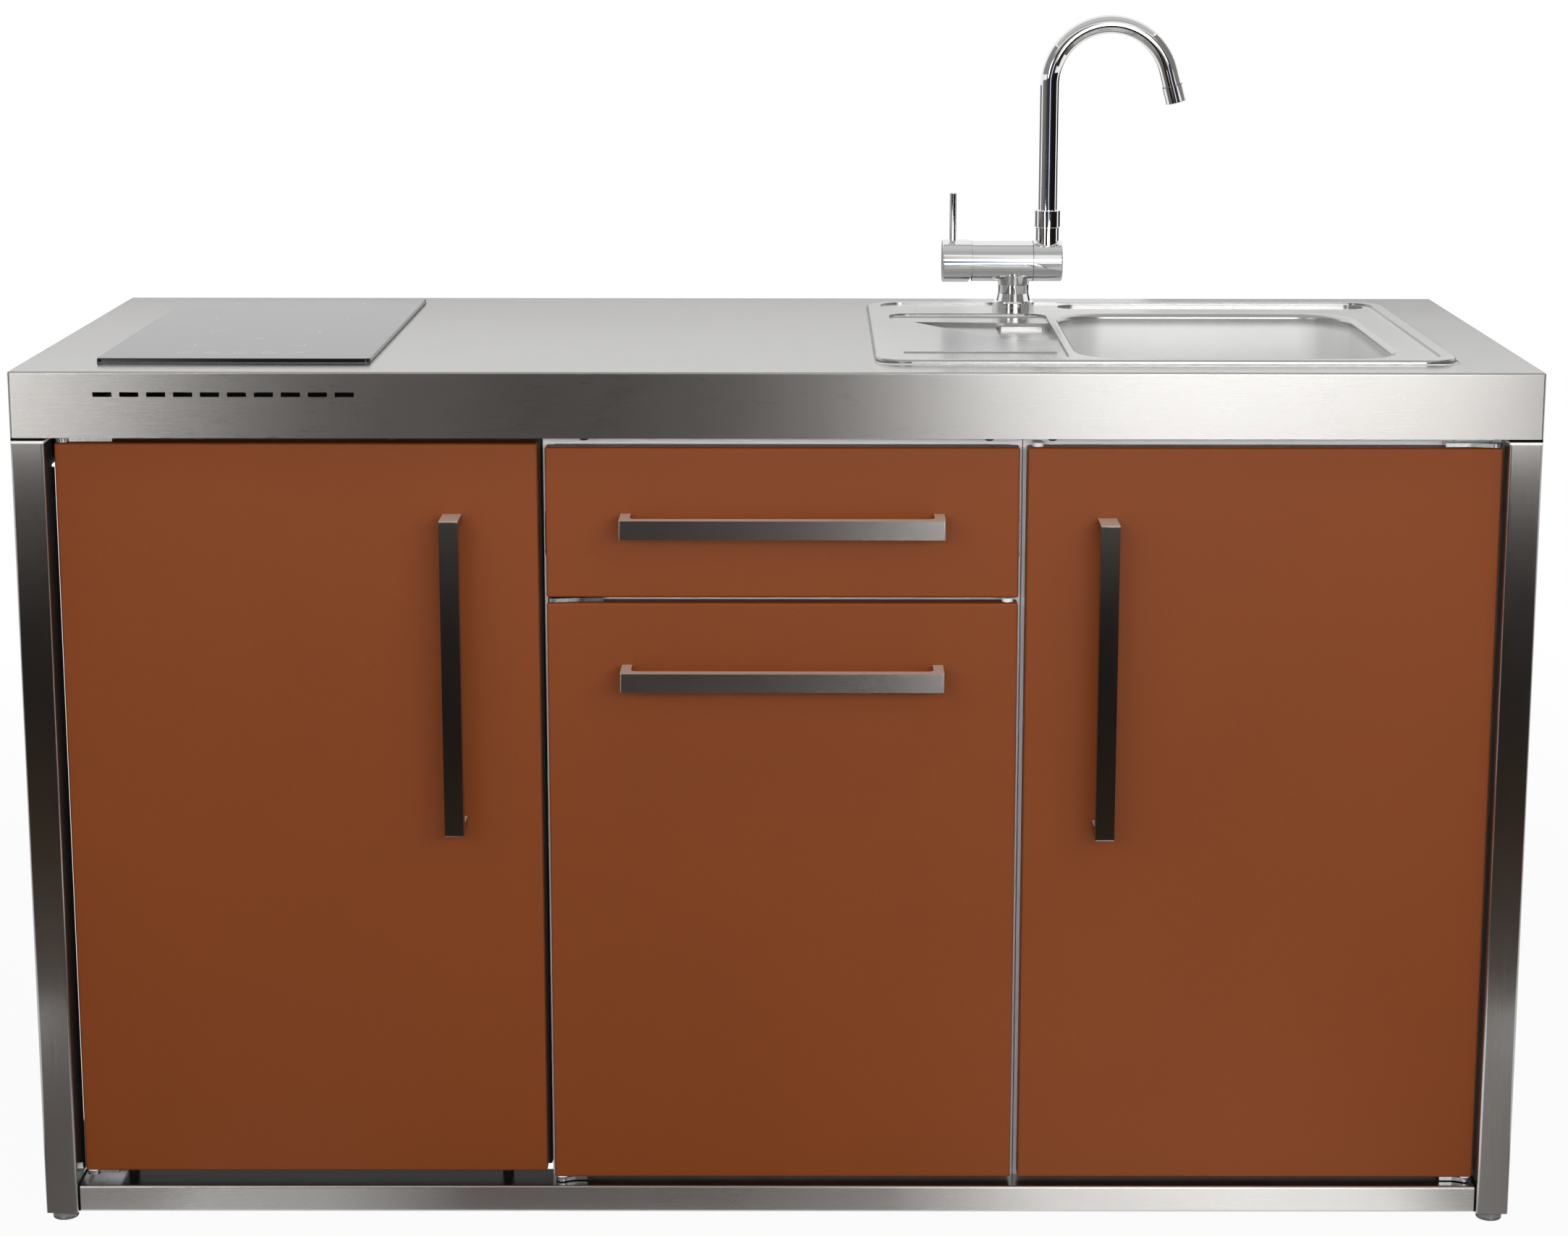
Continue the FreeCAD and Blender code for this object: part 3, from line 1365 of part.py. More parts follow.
def make_trap():
    """Bottle trap on the waste, with its arm out through the back of the cabinet."""
    r = waste_pipe_radius
    w = waste_pipe_wall
    top = trap_top()
    body_top = top - trap_drop
    base = body_top - trap_height
    wide = trap_radius + trap_ring
    bore = r + running_gap
    socket_top = top + waste_spigot - w
    body = turned([(0, base), (trap_radius - trap_cup, base), (trap_radius, base + trap_cup),
                   (trap_radius, body_top - trap_ring_height), (wide, body_top - trap_ring_height), (wide, body_top),
                   (r + trap_ring, body_top), (r + trap_ring, socket_top), (bore, socket_top), (bore, top),
                   (r - w, top), (r - w, base + trap_ring_height), (trap_radius - w, base + trap_ring_height),
                   (trap_radius - w, base + trap_cup), (0, base + w)], point(waste_x, waste_y, 0), axis_z)
    z = trap_arm_height()
    arm_start = waste_y + trap_radius - trap_wall_gap
    arm = rod(r, point(waste_x, arm_start, z), axis_y, back - trap_wall_gap - arm_start)
    arm = arm.cut(rod(r - w, point(waste_x, waste_y + trap_radius + trap_wall_gap, z), axis_y, unit_depth))
    step, length = trap_nut
    nut = turned([(r, 0), (r + step, 0), (r + step, length), (r, length)],
                 point(waste_x, waste_y + trap_radius + w, z), axis_y)
    return fuse([body, arm, nut])


def bent_path(corners, radius):
    """Wire through the corners, each right-angled bend rounded with the radius."""
    edges = []
    start = corners[0]
    for here, after in zip(corners[1:], corners[2:]):
        into = (here - start).normalize()
        out = (after - here).normalize()
        before = here - into * radius
        beyond = here + out * radius
        middle = here + (out - into) * radius * (1 - math.sqrt(0.5))
        edges.append(Part.LineSegment(start, before).toShape())
        edges.append(Part.Arc(before, middle, beyond).toShape())
        start = beyond
    edges.append(Part.LineSegment(start, corners[-1]).toShape())
    return Part.Wire(edges)


def make_overflow():
    """Pipe from the drainer's outlet to the side of the waste cup."""
    o = overflow_radius
    z_run = bowl_bottom - waste_cup_depth + overflow_rise
    top = outlet_floor - sink_sheet
    path = bent_path([point(outlet_x, outlet_y, top), point(outlet_x, outlet_y, z_run),
                      point(waste_x - waste_radius - seat_gap, outlet_y, z_run)], overflow_bend)
    collar = rod(o + overflow_collar, point(outlet_x, outlet_y, top - overflow_collar_height), axis_z,
                 overflow_collar_height)
    socket = rod(o + overflow_socket, point(waste_x - waste_radius - overflow_socket_length, outlet_y, z_run), axis_x,
                 overflow_socket_length)
    cup = rod(waste_radius + seat_gap, point(waste_x, waste_y, trap_top()), axis_z, bowl_bottom - trap_top())
    return fuse([pipe(o, path), collar, socket]).cut(cup)


def make_waste_pipework():
    return group([make_trap(), make_overflow()])


# Tap

def tap_point(x, z):
    return point(tap_x + x, tap_y, tap_axis_height + z)


def make_tap_base_ring():
    r = tap_ring_radius
    bore = stud_radius + running_gap
    return turned([(bore, 0), (r, 0), (r, tap_ring_height - tap_edge), (r - tap_edge, tap_ring_height),
                   (bore, tap_ring_height)], point(tap_x, tap_y, sink_field), axis_z)


def make_tap_body():
    base = sink_field + tap_ring_height
    rise = tap_axis_height - base
    r = tap_pedestal_radius
    foot, neck_low, neck_high = pedestal_steps
    pedestal = turned([(0, 0), (r, 0), (tap_waist, foot), (tap_waist, rise - neck_low), (r, rise - neck_high),
                       (r, rise), (0, rise)], point(tap_x, tap_y, base), axis_z)
    barrel = rod(tap_body_radius, tap_point(tap_body_left, 0), axis_x, tap_body_right - tap_body_left)
    spigot = rod(fold_spigot_radius, tap_point(tap_body_right, 0), axis_x, fold_spigot_length)
    body = fuse([pedestal, barrel, spigot])
    bore = rod(cartridge_radius, tap_point(tap_body_left - 1, 0), axis_x, cartridge_length + 1)
    socket = rod(stud_tip_radius + running_gap, point(tap_x, tap_y, base - overshoot), axis_z,
                 stud_tip_length + overshoot)
    return body.cut(bore).cut(socket)


def make_tap_fixing():
    """Threaded stud, washer and nut under the sink, and two copper tails led out through the cabinet's back."""
    z = sink_field - sink_sheet
    stud = rod(stud_radius, point(tap_x, tap_y, z - stud_length), axis_z,
               stud_length + sink_sheet + tap_ring_height)
    tip = rod(stud_tip_radius, point(tap_x, tap_y, sink_field + tap_ring_height - overshoot), axis_z,
              stud_tip_length)
    tails = []
    for way, (end_x, end_z) in ((-1, hot_tail_end), (1, cold_tail_end)):
        x = tap_x + way * tail_spread
        path = bent_path([point(x, tap_y, z - stud_length + tail_radius), point(x, tap_y, end_z),
                          point(end_x, tap_y, end_z), point(end_x, back - trap_wall_gap, end_z)], tail_bend)
        tails.append(pipe(tail_radius, path))
    w = washer_thickness
    washer = turned([(stud_radius + seat_gap, 0), (tap_ring_radius, 0), (tap_ring_radius, w),
                     (stud_radius + seat_gap, w)], point(tap_x, tap_y, z - w), axis_z)
    corners = []
    for corner in range(6):
        angle = math.radians(60 * corner)
        reach = nut_across / 2 / math.cos(math.radians(30))
        corners.append((tap_x + reach * math.cos(angle), tap_y + reach * math.sin(angle)))
    nut = slab(corners, z - w - nut_height, z - w)
    nut = nut.cut(rod(stud_radius + running_gap, point(tap_x, tap_y, z - stud_length), axis_z, stud_length))
    return group([fuse([stud, tip] + tails), washer, nut])


def make_tap_cartridge():
    core = rod(cartridge_radius - running_gap, tap_point(tap_body_left, 0), axis_x, cartridge_length - seat_gap)
    return core.cut(rod(spindle_radius + running_gap, tap_point(tap_body_left - overshoot, 0), axis_x,
                        spindle_reach + overshoot))


def make_tap_spindle():
    reach = spindle_reach
    return rod(spindle_radius, tap_point(tap_body_left - reach, 0), axis_x, 2 * reach - 2 * seat_gap)


def make_tap_lever_cap():
    x1 = tap_body_left - seat_gap
    x0 = x1 - cap_length
    body = rod(cap_radius, tap_point(x0, 0), axis_x, cap_length)
    end = [e for e in body.Edges if e.BoundBox.XMax < tap_x + x0 + face_gap]
    body = body.makeFillet(tap_edge, end)
    body = body.cut(rod(cap_cavity_radius, tap_point(x1 - cap_cavity_depth, 0), axis_x, cap_cavity_depth + 1))
    reach = 2 * cap_radius
    wedge = block(0, reach, -reach, reach, -reach, 0)
    wedge.rotate(point(0, 0, 0), axis_y, cap_bevel_angle)
    wedge.translate(tap_point(x1, cap_bevel_height))
    body = body.cut(wedge)
    seat = rod(lever_radius, tap_point(x0 + lever_inset, cap_radius - lever_seat), axis_z, cap_radius)
    return body.cut(seat)


def make_tap_lever_pin():
    x = tap_body_left - seat_gap - cap_length + lever_inset
    z = cap_radius - lever_seat + seat_gap
    pin = rod(lever_radius - running_gap, tap_point(x, z), axis_z, lever_top - z)
    tip = [e for e in pin.Edges if e.BoundBox.ZMin > tap_axis_height + lever_top - face_gap]
    return pin.makeFillet(lever_radius / 4, tip)


def make_tap_fold_joint():
    x0 = tap_body_right + seat_gap
    x1 = x0 + fold_length
    barrel = rod(tap_body_radius, tap_point(x0, 0), axis_x, fold_length)
    end = [e for e in barrel.Edges if e.BoundBox.XMin > tap_x + x1 - face_gap]
    barrel = barrel.makeFillet(tap_edge, end)
    middle = (x0 + x1) / 2
    neck = rod(neck_radius, tap_point(middle, 0), axis_z, neck_top)
    spigot = rod(spout_spigot_radius, tap_point(middle, neck_top - 1), axis_z, spout_spigot_height + 1)
    joint = fuse([barrel, neck, spigot])
    return joint.cut(rod(fold_spigot_radius + running_gap, tap_point(x0 - 1, 0), axis_x, fold_spigot_length + 1.5))


def spout_x():
    return tap_body_right + seat_gap + fold_length / 2


def make_tap_swivel_ring():
    x = spout_x()
    r = swivel_ring_radius
    bore = spout_spigot_radius + running_gap
    top = swivel_ring_height
    edge = tap_edge / 2
    return turned([(bore, 0), (r - edge, 0), (r, edge), (r, top - edge), (r - edge, top), (spout_radius, top),
                   (spout_radius, spout_spigot_height), (bore, spout_spigot_height)],
                  tap_point(x, neck_top + seat_gap), axis_z)


def spout_bar(radius, start, x):
    """The gooseneck as a solid bar of the given radius, from start to its mouth."""
    upright = rod(radius, tap_point(x, start), axis_z, spout_straight - start)
    centre = tap_point(x + spout_bend, spout_straight)
    disc = Part.Face(Part.Wire(Part.makeCircle(radius, tap_point(x, spout_straight), axis_z)))
    arch = disc.revolve(centre, axis_y, spout_sweep)
    mouth, way = spout_mouth(x)
    end = rod(radius, mouth - way * spout_end, way, spout_end)
    return fuse([upright, arch, end])


def spout_mouth(x):
    angle = math.radians(180 - spout_sweep)
    way = point(math.sin(angle), 0, -math.cos(angle))
    arch_end = tap_point(x + spout_bend + spout_bend * math.cos(angle), spout_straight + spout_bend * math.sin(angle))
    return arch_end + way * spout_end, way


def make_tap_spout():
    x = spout_x()
    start = neck_top + seat_gap + spout_spigot_height + face_gap
    return spout_bar(spout_radius - running_gap, start, x).cut(spout_bar(spout_radius - spout_wall, start - 1, x))


def make_tap_aerator():
    mouth, way = spout_mouth(spout_x())
    shell = rod(aerator_radius, mouth, way, aerator_length)
    end = [e for e in shell.Edges if abs((e.CenterOfMass - mouth).dot(way) - aerator_length) < face_gap]
    shell = shell.makeFillet(tap_edge / 2, end)
    bore = aerator_radius - aerator_wall
    shell = shell.cut(rod(bore, mouth - way, way, aerator_length + overshoot - aerator_floor))
    return shell.cut(rod(bore - aerator_lip, mouth - way, way, aerator_length + 3 * overshoot))


def main():
    os.makedirs("parts", exist_ok=True)
    save("worktop", make_worktop())
    save("worktop_core", make_worktop_core())
    save("left_side_frame", make_side_frame(-1))
    save("right_side_frame", make_side_frame(1))
    save("levelling_feet", make_feet())
    save("frame_rails", make_frame_rails())
    save("middle_cabinet", make_middle_cabinet())
    save("middle_shelf", make_middle_shelf())
    save("right_cabinet", make_right_cabinet())
    save("hinge_brackets", make_hinge_brackets())
    save("door_catches", make_door_catches())

    left_x = left_door_box[1] - left_handle_inset
    left_z = left_door_top - handle_drop - handle_length / 2
    left_holes = handle_holes(left_x, left_z, True)
    left_pivots = [pivot_x_of(left_door_box, -1)]
    save("left_door_skin", make_front_skin(left_door_box, left_holes, left_pivots))
    save("left_door_core", make_front_core(left_door_box, left_holes, left_pivots))
    save("left_door_liner", make_left_door_liner(left_holes))
    save("left_door_gasket", make_left_door_gasket())
    save("left_door_shelves", make_left_door_shelves())
    save("left_door_handle", make_handle(left_x, left_z, True))
    save("left_door_handle_screws", make_handle_screws(left_holes, front_back_y - handle_screw_head))

    middle_x = (middle_door_box[0] + middle_door_box[1]) / 2
    middle_z = middle_door_top - middle_handle_drop
    middle_holes = handle_holes(middle_x, middle_z, False)
    middle_pivots = [pivot_x_of(middle_door_box, -1)]
    save("middle_door_skin", make_front_skin(middle_door_box, middle_holes, middle_pivots))
    save("middle_door_core", make_front_core(middle_door_box, middle_holes, middle_pivots))
    save("middle_door_handle", make_handle(middle_x, middle_z, False))
    save("middle_door_handle_screws", make_handle_screws(middle_holes, front_back_y - handle_screw_head))

    right_x = right_door_box[0] + right_handle_inset
    right_z = front_top - handle_drop - handle_length / 2
    right_holes = handle_holes(right_x, right_z, True)
    right_pivots = [pivot_x_of(right_door_box, 1)]
    save("right_door_skin", make_front_skin(right_door_box, right_holes, right_pivots))
    save("right_door_core", make_front_core(right_door_box, right_holes, right_pivots))
    save("right_door_handle", make_handle(right_x, right_z, True))
    save("right_door_handle_screws", make_handle_screws(right_holes, front_back_y - handle_screw_head))

    drawer_z = (drawer_front_bottom + front_top) / 2
    drawer_holes = handle_holes(middle_x, drawer_z, False)
    save("drawer_front", make_front_skin(drawer_front_box, drawer_holes, []))
    save("drawer_handle", make_handle(middle_x, drawer_z, False))
    save("drawer_handle_screws", make_handle_screws(drawer_holes, front_back_y + drawer_sheet))
    save("drawer_box", make_drawer_box_with_holes(drawer_holes))
    save("drawer_outer_runners", make_runner("outer"))
    save("drawer_middle_runners", make_runner("middle"))
    save("drawer_inner_runners", make_runner("inner"))

    save("fridge_case", make_fridge_case())
    save("fridge_liner", make_fridge_liner())
    save("fridge_ribs", make_fridge_ribs())
    save("fridge_shelves", make_fridge_shelves())
    save("fridge_compressor", make_fridge_compressor())
    save("fridge_condenser", make_fridge_condenser())
    save("thermostat_knob", make_thermostat_knob())

    save("hob_glass", make_hob_glass())
    save("hob_casing", make_hob_casing())
    save("hob_heaters", make_hob_heaters())
    save("hob_control_board", make_hob_board())

    save("sink", make_sink())
    save("sink_clips", make_sink_clips())
    save("sink_waste", make_sink_waste())
    save("strainer_basket", make_strainer_basket())
    save("waste_pipework", make_waste_pipework())

    save("tap_base_ring", make_tap_base_ring())
    save("tap_body", make_tap_body())
    save("tap_fixing", make_tap_fixing())
    save("tap_cartridge", make_tap_cartridge())
    save("tap_spindle", make_tap_spindle())
    save("tap_lever_cap", make_tap_lever_cap())
    save("tap_lever_pin", make_tap_lever_pin())
    save("tap_fold_joint", make_tap_fold_joint())
    save("tap_swivel_ring", make_tap_swivel_ring())
    save("tap_spout", make_tap_spout())
    save("tap_aerator", make_tap_aerator())


main()
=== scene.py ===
import bpy
import bmesh
import math
from mathutils import Matrix, Vector


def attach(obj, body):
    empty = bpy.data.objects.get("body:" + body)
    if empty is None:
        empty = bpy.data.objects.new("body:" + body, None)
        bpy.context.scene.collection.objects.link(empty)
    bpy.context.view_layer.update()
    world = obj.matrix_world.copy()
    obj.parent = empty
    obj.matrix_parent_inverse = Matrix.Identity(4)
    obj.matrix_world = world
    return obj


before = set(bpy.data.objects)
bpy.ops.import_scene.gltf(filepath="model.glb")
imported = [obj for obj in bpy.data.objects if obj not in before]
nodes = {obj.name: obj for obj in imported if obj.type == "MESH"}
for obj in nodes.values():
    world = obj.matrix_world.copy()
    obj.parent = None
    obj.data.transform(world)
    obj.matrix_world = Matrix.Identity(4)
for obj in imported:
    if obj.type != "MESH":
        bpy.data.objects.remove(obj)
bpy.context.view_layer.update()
print("frame loaded:", len(nodes), "pieces")


# Shader maths

class Wire:  # a node's output that can stand in a sum
    def __init__(self, socket, finish):
        self.socket = socket
        self.finish = finish

    def maths(self, operation, *values):
        return self.finish.node("ShaderNodeMath", {"operation": operation}, values)

    def __add__(self, other):
        return self.maths("ADD", self, other)

    __radd__ = __add__

    def __mul__(self, other):
        return self.maths("MULTIPLY", self, other)

    __rmul__ = __mul__

    def __sub__(self, other):
        return self.maths("SUBTRACT", self, other)

    def __rsub__(self, other):
        return self.maths("SUBTRACT", other, self)

    def __abs__(self):
        return self.maths("ABSOLUTE", self)

    def above(self, other):
        return self.maths("GREATER_THAN", self, other)

    def below(self, other):
        return self.maths("LESS_THAN", self, other)

    def lowest(self, other):
        return self.maths("MINIMUM", self, other)

    def highest(self, other):
        return self.maths("MAXIMUM", self, other)

    def spread(self, low, high):  # 0 at low, 1 at high, held in between
        return self.finish.node("ShaderNodeMapRange", {"interpolation_type": "SMOOTHSTEP"},
                                {"Value": self, "From Min": low, "From Max": high})


class Finish:
    def __init__(self, name, world=False):
        self.material = (bpy.data.worlds if world else bpy.data.materials).new(name)
        self.material.use_nodes = True
        self.tree = self.material.node_tree
        self.tree.nodes.clear()
        if not world:
            self.place = self.node("ShaderNodeTexCoord", {}, {}, "Object")
            self.facing = self.node("ShaderNodeTexCoord", {}, {}, "Normal")

    def node(self, kind, settings, inputs, output=0):
        made = self.tree.nodes.new(kind)
        for key, value in settings.items():
            if key == "stops":
                ramp = made.color_ramp.elements
                while len(ramp) < len(value):
                    ramp.new(0.5)
                for stop, (position, colour) in zip(ramp, value):
                    stop.position = position
                    stop.color = (*colour, 1)
            else:
                setattr(made, key, value)
        for key, value in (inputs.items() if isinstance(inputs, dict) else enumerate(inputs)):
            if isinstance(value, Wire):
                self.tree.links.new(value.socket, made.inputs[key])
            else:
                made.inputs[key].default_value = value
        return Wire(made.outputs[output] if made.outputs else None, self)

    def axis(self, name, wire=None):
        return self.node("ShaderNodeSeparateXYZ", {}, [wire or self.place], name)

    def length(self, wire):
        return self.node("ShaderNodeVectorMath", {"operation": "LENGTH"}, [wire], "Value")

    def stretched(self, factors):
        return self.node("ShaderNodeVectorMath", {"operation": "MULTIPLY"}, [self.place, factors])

    def noise(self, scale, detail=2.0, roughness=0.5, wire=None):
        return self.node("ShaderNodeTexNoise", {},
                         {"Vector": wire or self.place, "Scale": scale, "Detail": detail, "Roughness": roughness})

    def cells(self, scale):
        return self.node("ShaderNodeTexVoronoi", {}, {"Vector": self.place, "Scale": scale}, "Distance")

    def blend(self, amount, first, second):
        full = [(*c, 1) if isinstance(c, tuple) else c for c in (first, second)]
        return self.node("ShaderNodeMix", {"data_type": "RGBA"}, {0: amount, 6: full[0], 7: full[1]}, 2)

    def bump(self, height, strength, distance):
        return self.node("ShaderNodeBump", {}, {"Strength": strength, "Distance": distance, "Height": height})

    def surface(self, baseColour, values):
        colour = (*baseColour, 1) if isinstance(baseColour, tuple) else baseColour
        shader = self.node("ShaderNodeBsdfPrincipled", {}, {"Base Color": colour, **values})
        self.node("ShaderNodeOutputMaterial", {}, {"Surface": shader})
        return self.material


def dress(material, *names):
    for name in names:
        nodes[name].data.materials.clear()
        nodes[name].data.materials.append(material)


# Camera, floor and lights

camera = {"at": (0.0259, -3.5185, 1.4207), "pitch": 0.1903, "yaw": 0.0012, "roll": -0.0013,
          "lens": 71.957, "shiftX": -0.0142, "shiftY": -0.0722}
studio = {"floorSize": 28.0, "floorGlow": 0.95, "floorFade": (1.1, 3.2), "skyGlow": 0.36}


def makeCamera():
    data = bpy.data.cameras.new("photoCamera")
    data.lens = camera["lens"]
    data.sensor_width = 36
    data.shift_x = camera["shiftX"]
    data.shift_y = camera["shiftY"]
    data.clip_end = 60
    eye = bpy.data.objects.new("photoCamera", data)
    eye.location = camera["at"]
    eye.rotation_euler = (math.pi / 2 - camera["pitch"], camera["roll"], -camera["yaw"])
    bpy.context.scene.collection.objects.link(eye)
    bpy.context.scene.camera = eye


def makePlane(name, centre, right, up, width, height):
    right, up = Vector(right).normalized(), Vector(up).normalized()
    mesh = bpy.data.meshes.new(name)
    corners = [Vector(centre) + right * (a * width / 2) + up * (b * height / 2)
               for a, b in ((-1, -1), (1, -1), (1, 1), (-1, 1))]
    mesh.from_pydata(corners, [], [(0, 1, 2, 3)])
    made = bpy.data.objects.new(name, mesh)
    bpy.context.scene.collection.objects.link(made)
    return made


def seenDirectly(f):  # 1 for the camera and for what metal and glass show
    ray = f.node("ShaderNodeLightPath", {}, {}, "Is Camera Ray")
    gloss = f.node("ShaderNodeLightPath", {}, {}, "Is Glossy Ray")
    glass = f.node("ShaderNodeLightPath", {}, {}, "Is Transmission Ray")
    return ray.highest(gloss).highest(glass)


def makeFloor():
    size = studio["floorSize"]
    floor = makePlane("floor", (0, 0, 0), (1, 0, 0), (0, 1, 0), size, size)
    f = Finish("paleFloor")
    grain = f.noise(40, 2)
    shade = f.blend(grain, (0.38, 0.38, 0.375), (0.44, 0.44, 0.435))
    matt = f.node("ShaderNodeBsdfDiffuse", {}, {"Color": shade})
    glow = f.node("ShaderNodeEmission", {}, {"Color": (1, 1, 1, 1), "Strength": 1.0})
    far = f.length(f.place).spread(*studio["floorFade"])
    white = far * (1 - studio["floorGlow"]) + studio["floorGlow"]  # fades into the white backdrop
    both = f.node("ShaderNodeMixShader", {}, [seenDirectly(f) * white, matt, glow])
    f.node("ShaderNodeOutputMaterial", {}, {"Surface": both})
    floor.data.materials.append(f.material)


def makeWorld():
    f = Finish("studio", world=True)
    soft = f.node("ShaderNodeBackground", {}, {"Color": (1, 1, 1, 1), "Strength": studio["skyGlow"]})
    white = f.node("ShaderNodeBackground", {}, {"Color": (1, 1, 1, 1), "Strength": 1.0})
    both = f.node("ShaderNodeMixShader", {}, [seenDirectly(f), soft, white])
    f.node("ShaderNodeOutputWorld", {}, {"Surface": both})
    bpy.context.scene.world = f.material


def makeLamp(name, at, target, width, height, watts):
    data = bpy.data.lights.new(name, "AREA")
    data.shape = "RECTANGLE"
    data.size = width
    data.size_y = height
    data.energy = watts
    lamp = bpy.data.objects.new(name, data)
    lamp.location = at
    lamp.rotation_euler = (Vector(target) - Vector(at)).to_track_quat("-Z", "Y").to_euler()
    lamp.visible_camera = False
    lamp.visible_glossy = False  # the cards stand in for it in the metal
    bpy.context.scene.collection.objects.link(lamp)


def makeCard(name, centre, right, up, width, height, strength, stops, foot=None):
    # a studio card that only metal and glass see: colours along its longer side, and a dark part at its foot
    card = makePlane(name, centre, right, up, width, height)
    f = Finish(name)
    spot = f.node("ShaderNodeTexCoord", {}, {}, "Generated")
    tone = f.node("ShaderNodeValToRGB", {"stops": stops}, [f.axis("Y" if right == (0, 1, 0) else "X", spot)])
    if foot:
        tone = f.blend(f.axis("Z", spot).spread(foot - 0.02, foot + 0.02), (0.008, 0.0065, 0.0055), tone)
    glow = f.node("ShaderNodeEmission", {}, {"Color": tone, "Strength": strength})
    f.node("ShaderNodeOutputMaterial", {}, {"Surface": glow})
    card.data.materials.append(f.material)
    for side in ("camera", "diffuse", "transmission", "volume_scatter", "shadow"):
        setattr(card, "visible_" + side, False)


def warm(level):  # dark studio corners are warmer than the bright boxes
    fade = min(level / 0.35, 1) ** 0.5
    return (level, level * (0.74 + 0.25 * fade), level * (0.62 + 0.36 * fade))


cards = {
    # behind the camera: bright boxes left and right, dark between them and above the floor
    "frontWall": ((0, -3.6, 0.9), (1, 0, 0), (0, 0, 1), 7.0, 2.2, 6.5,
                  [(0.0, warm(0.01)), (0.20, warm(0.01)), (0.226, warm(1.25)), (0.262, warm(0.85)),
                   (0.328, warm(0.035)), (0.372, warm(0.006)), (0.455, warm(0.006)), (0.495, warm(0.016)),
                   (0.526, warm(0.04)), (0.556, warm(0.58)), (0.585, warm(0.95)), (0.63, warm(0.98)),
                   (0.71, warm(1.02)), (0.724, warm(0.85)), (0.733, warm(0.01))], 0.255),
    "frontUpper": ((0, -3.6, 2.6), (1, 0, 0), (0, 0, 1), 7.0, 1.2, 1.0,
                   [(0.0, warm(0.22)), (0.2, warm(0.24)), (0.24, warm(0.8)), (0.29, warm(0.2)), (0.52, warm(0.14)),
                    (0.58, warm(1.0)), (0.73, warm(1.0)), (0.76, warm(0.2)), (1.0, warm(0.2))]),
    "frontFloor": ((0, -2.28, 0.003), (0, 1, 0), (1, 0, 0), 2.64, 7.0, 1.0,
                   [(0.0, warm(0.01)), (0.4, warm(0.02)), (0.7, (0.05, 0.033, 0.02)), (1.0, (0.12, 0.095, 0.08))]),
    "nearFloor": ((0, -0.63, 0.004), (1, 0, 0), (0, 1, 0), 2.0, 0.66, 1.3,
                  [(0.0, warm(0.1)), (0.11, warm(0.15)), (0.15, warm(0.25)), (0.18, warm(0.46)), (0.25, warm(0.4)),
                   (0.33, warm(0.12)), (0.46, warm(0.14)), (0.56, warm(0.2)), (0.65, warm(0.75)), (0.76, warm(0.97)),
                   (0.84, warm(0.85)), (0.88, warm(0.28)), (1.0, warm(0.15))]),
    # a low ring of dark flags that the tap shows, under what the worktop shows
    "leftSide": ((-2.4, -1.6, 0.95), (0, 1, 0), (0, 0, 1), 4.0, 0.7, 1.0, [(0.0, warm(0.09)), (1.0, warm(0.24))]),
    "rightSide": ((2.6, -1.6, 0.95), (0, 1, 0), (0, 0, 1), 4.0, 0.7, 1.0, [(0.0, warm(0.01)), (1.0, warm(0.012))]),
    "leftBack": ((-1.3, 1.7, 0.87), (1, 0, 0), (0, 0, 1), 3.2, 0.5, 1.0, [(0.0, warm(0.12)), (1.0, warm(0.3))]),
    "rightBack": ((2.1, 1.7, 0.87), (1, 0, 0), (0, 0, 1), 3.0, 0.5, 1.0, [(0.0, warm(0.01)), (1.0, warm(0.012))]),
    "frontHigh": ((0, -3.5, 0.965), (1, 0, 0), (0, 0, 1), 6.8, 0.61, 1.0,
                  [(0.0, (0.05, 0.05, 0.055)), (0.53, (0.03, 0.033, 0.045)), (0.552, (0.02, 0.025, 0.04)),
                   (0.566, (0.2, 0.32, 0.6)), (0.59, (1, 1, 1)), (0.625, (1, 1, 1)), (0.645, (0.2, 0.3, 0.5)),
                   (0.66, (0.02, 0.025, 0.04)), (1.0, (0.01, 0.011, 0.016))]),
    "topFront": ((0, -2.5, 4.1), (1, 0, 0), (0, 1, 0), 7.0, 2.2, 1.0, [(0.0, warm(0.46)), (1.0, warm(0.5))]),
    "leftHigh": ((-3.6, -0.9, 2.9), (0, 1, 0), (0, 0, 1), 5.4, 2.4, 1.0, [(0.0, warm(0.25)), (1.0, warm(0.3))]),
    "rightHigh": ((3.6, -0.9, 2.9), (0, 1, 0), (0, 0, 1), 5.4, 2.4, 1.0, [(0.0, warm(0.2)), (1.0, warm(0.25))]),
    # overhead: a soft grey sheet with a dark bar behind it
    "ceiling": ((0, -0.24, 4.2), (0, 1, 0), (1, 0, 0), 2.4, 7.0, 1.0,
                [(0.0, warm(0.56)), (0.89, (0.66, 0.66, 0.66)), (0.9, warm(0.01)), (1.0, warm(0.01))]),
}
lamps = {
    "keyLeft": ((-2.4, -3.2, 2.6), (-0.2, 0, 0.6), 1.6, 1.6, 14),
    "keyRight": ((2.4, -3.2, 2.6), (0.2, 0, 0.6), 1.6, 1.6, 24),
    "front": ((0.1, -2.4, 1.28), (0, 0, 0.7), 2.6, 0.45, 31),
    "overhead": ((0, -0.8, 3.6), (0, 0, 0.6), 3.0, 1.6, 26),
}


def makeStudio():
    makeCamera()
    makeFloor()
    makeWorld()
    for name, values in lamps.items():
        makeLamp(name, *values)
    for name, values in cards.items():
        makeCard(name, *values)
    bpy.context.scene.view_settings.view_transform = "Standard"
    print("studio set")


# Finishes

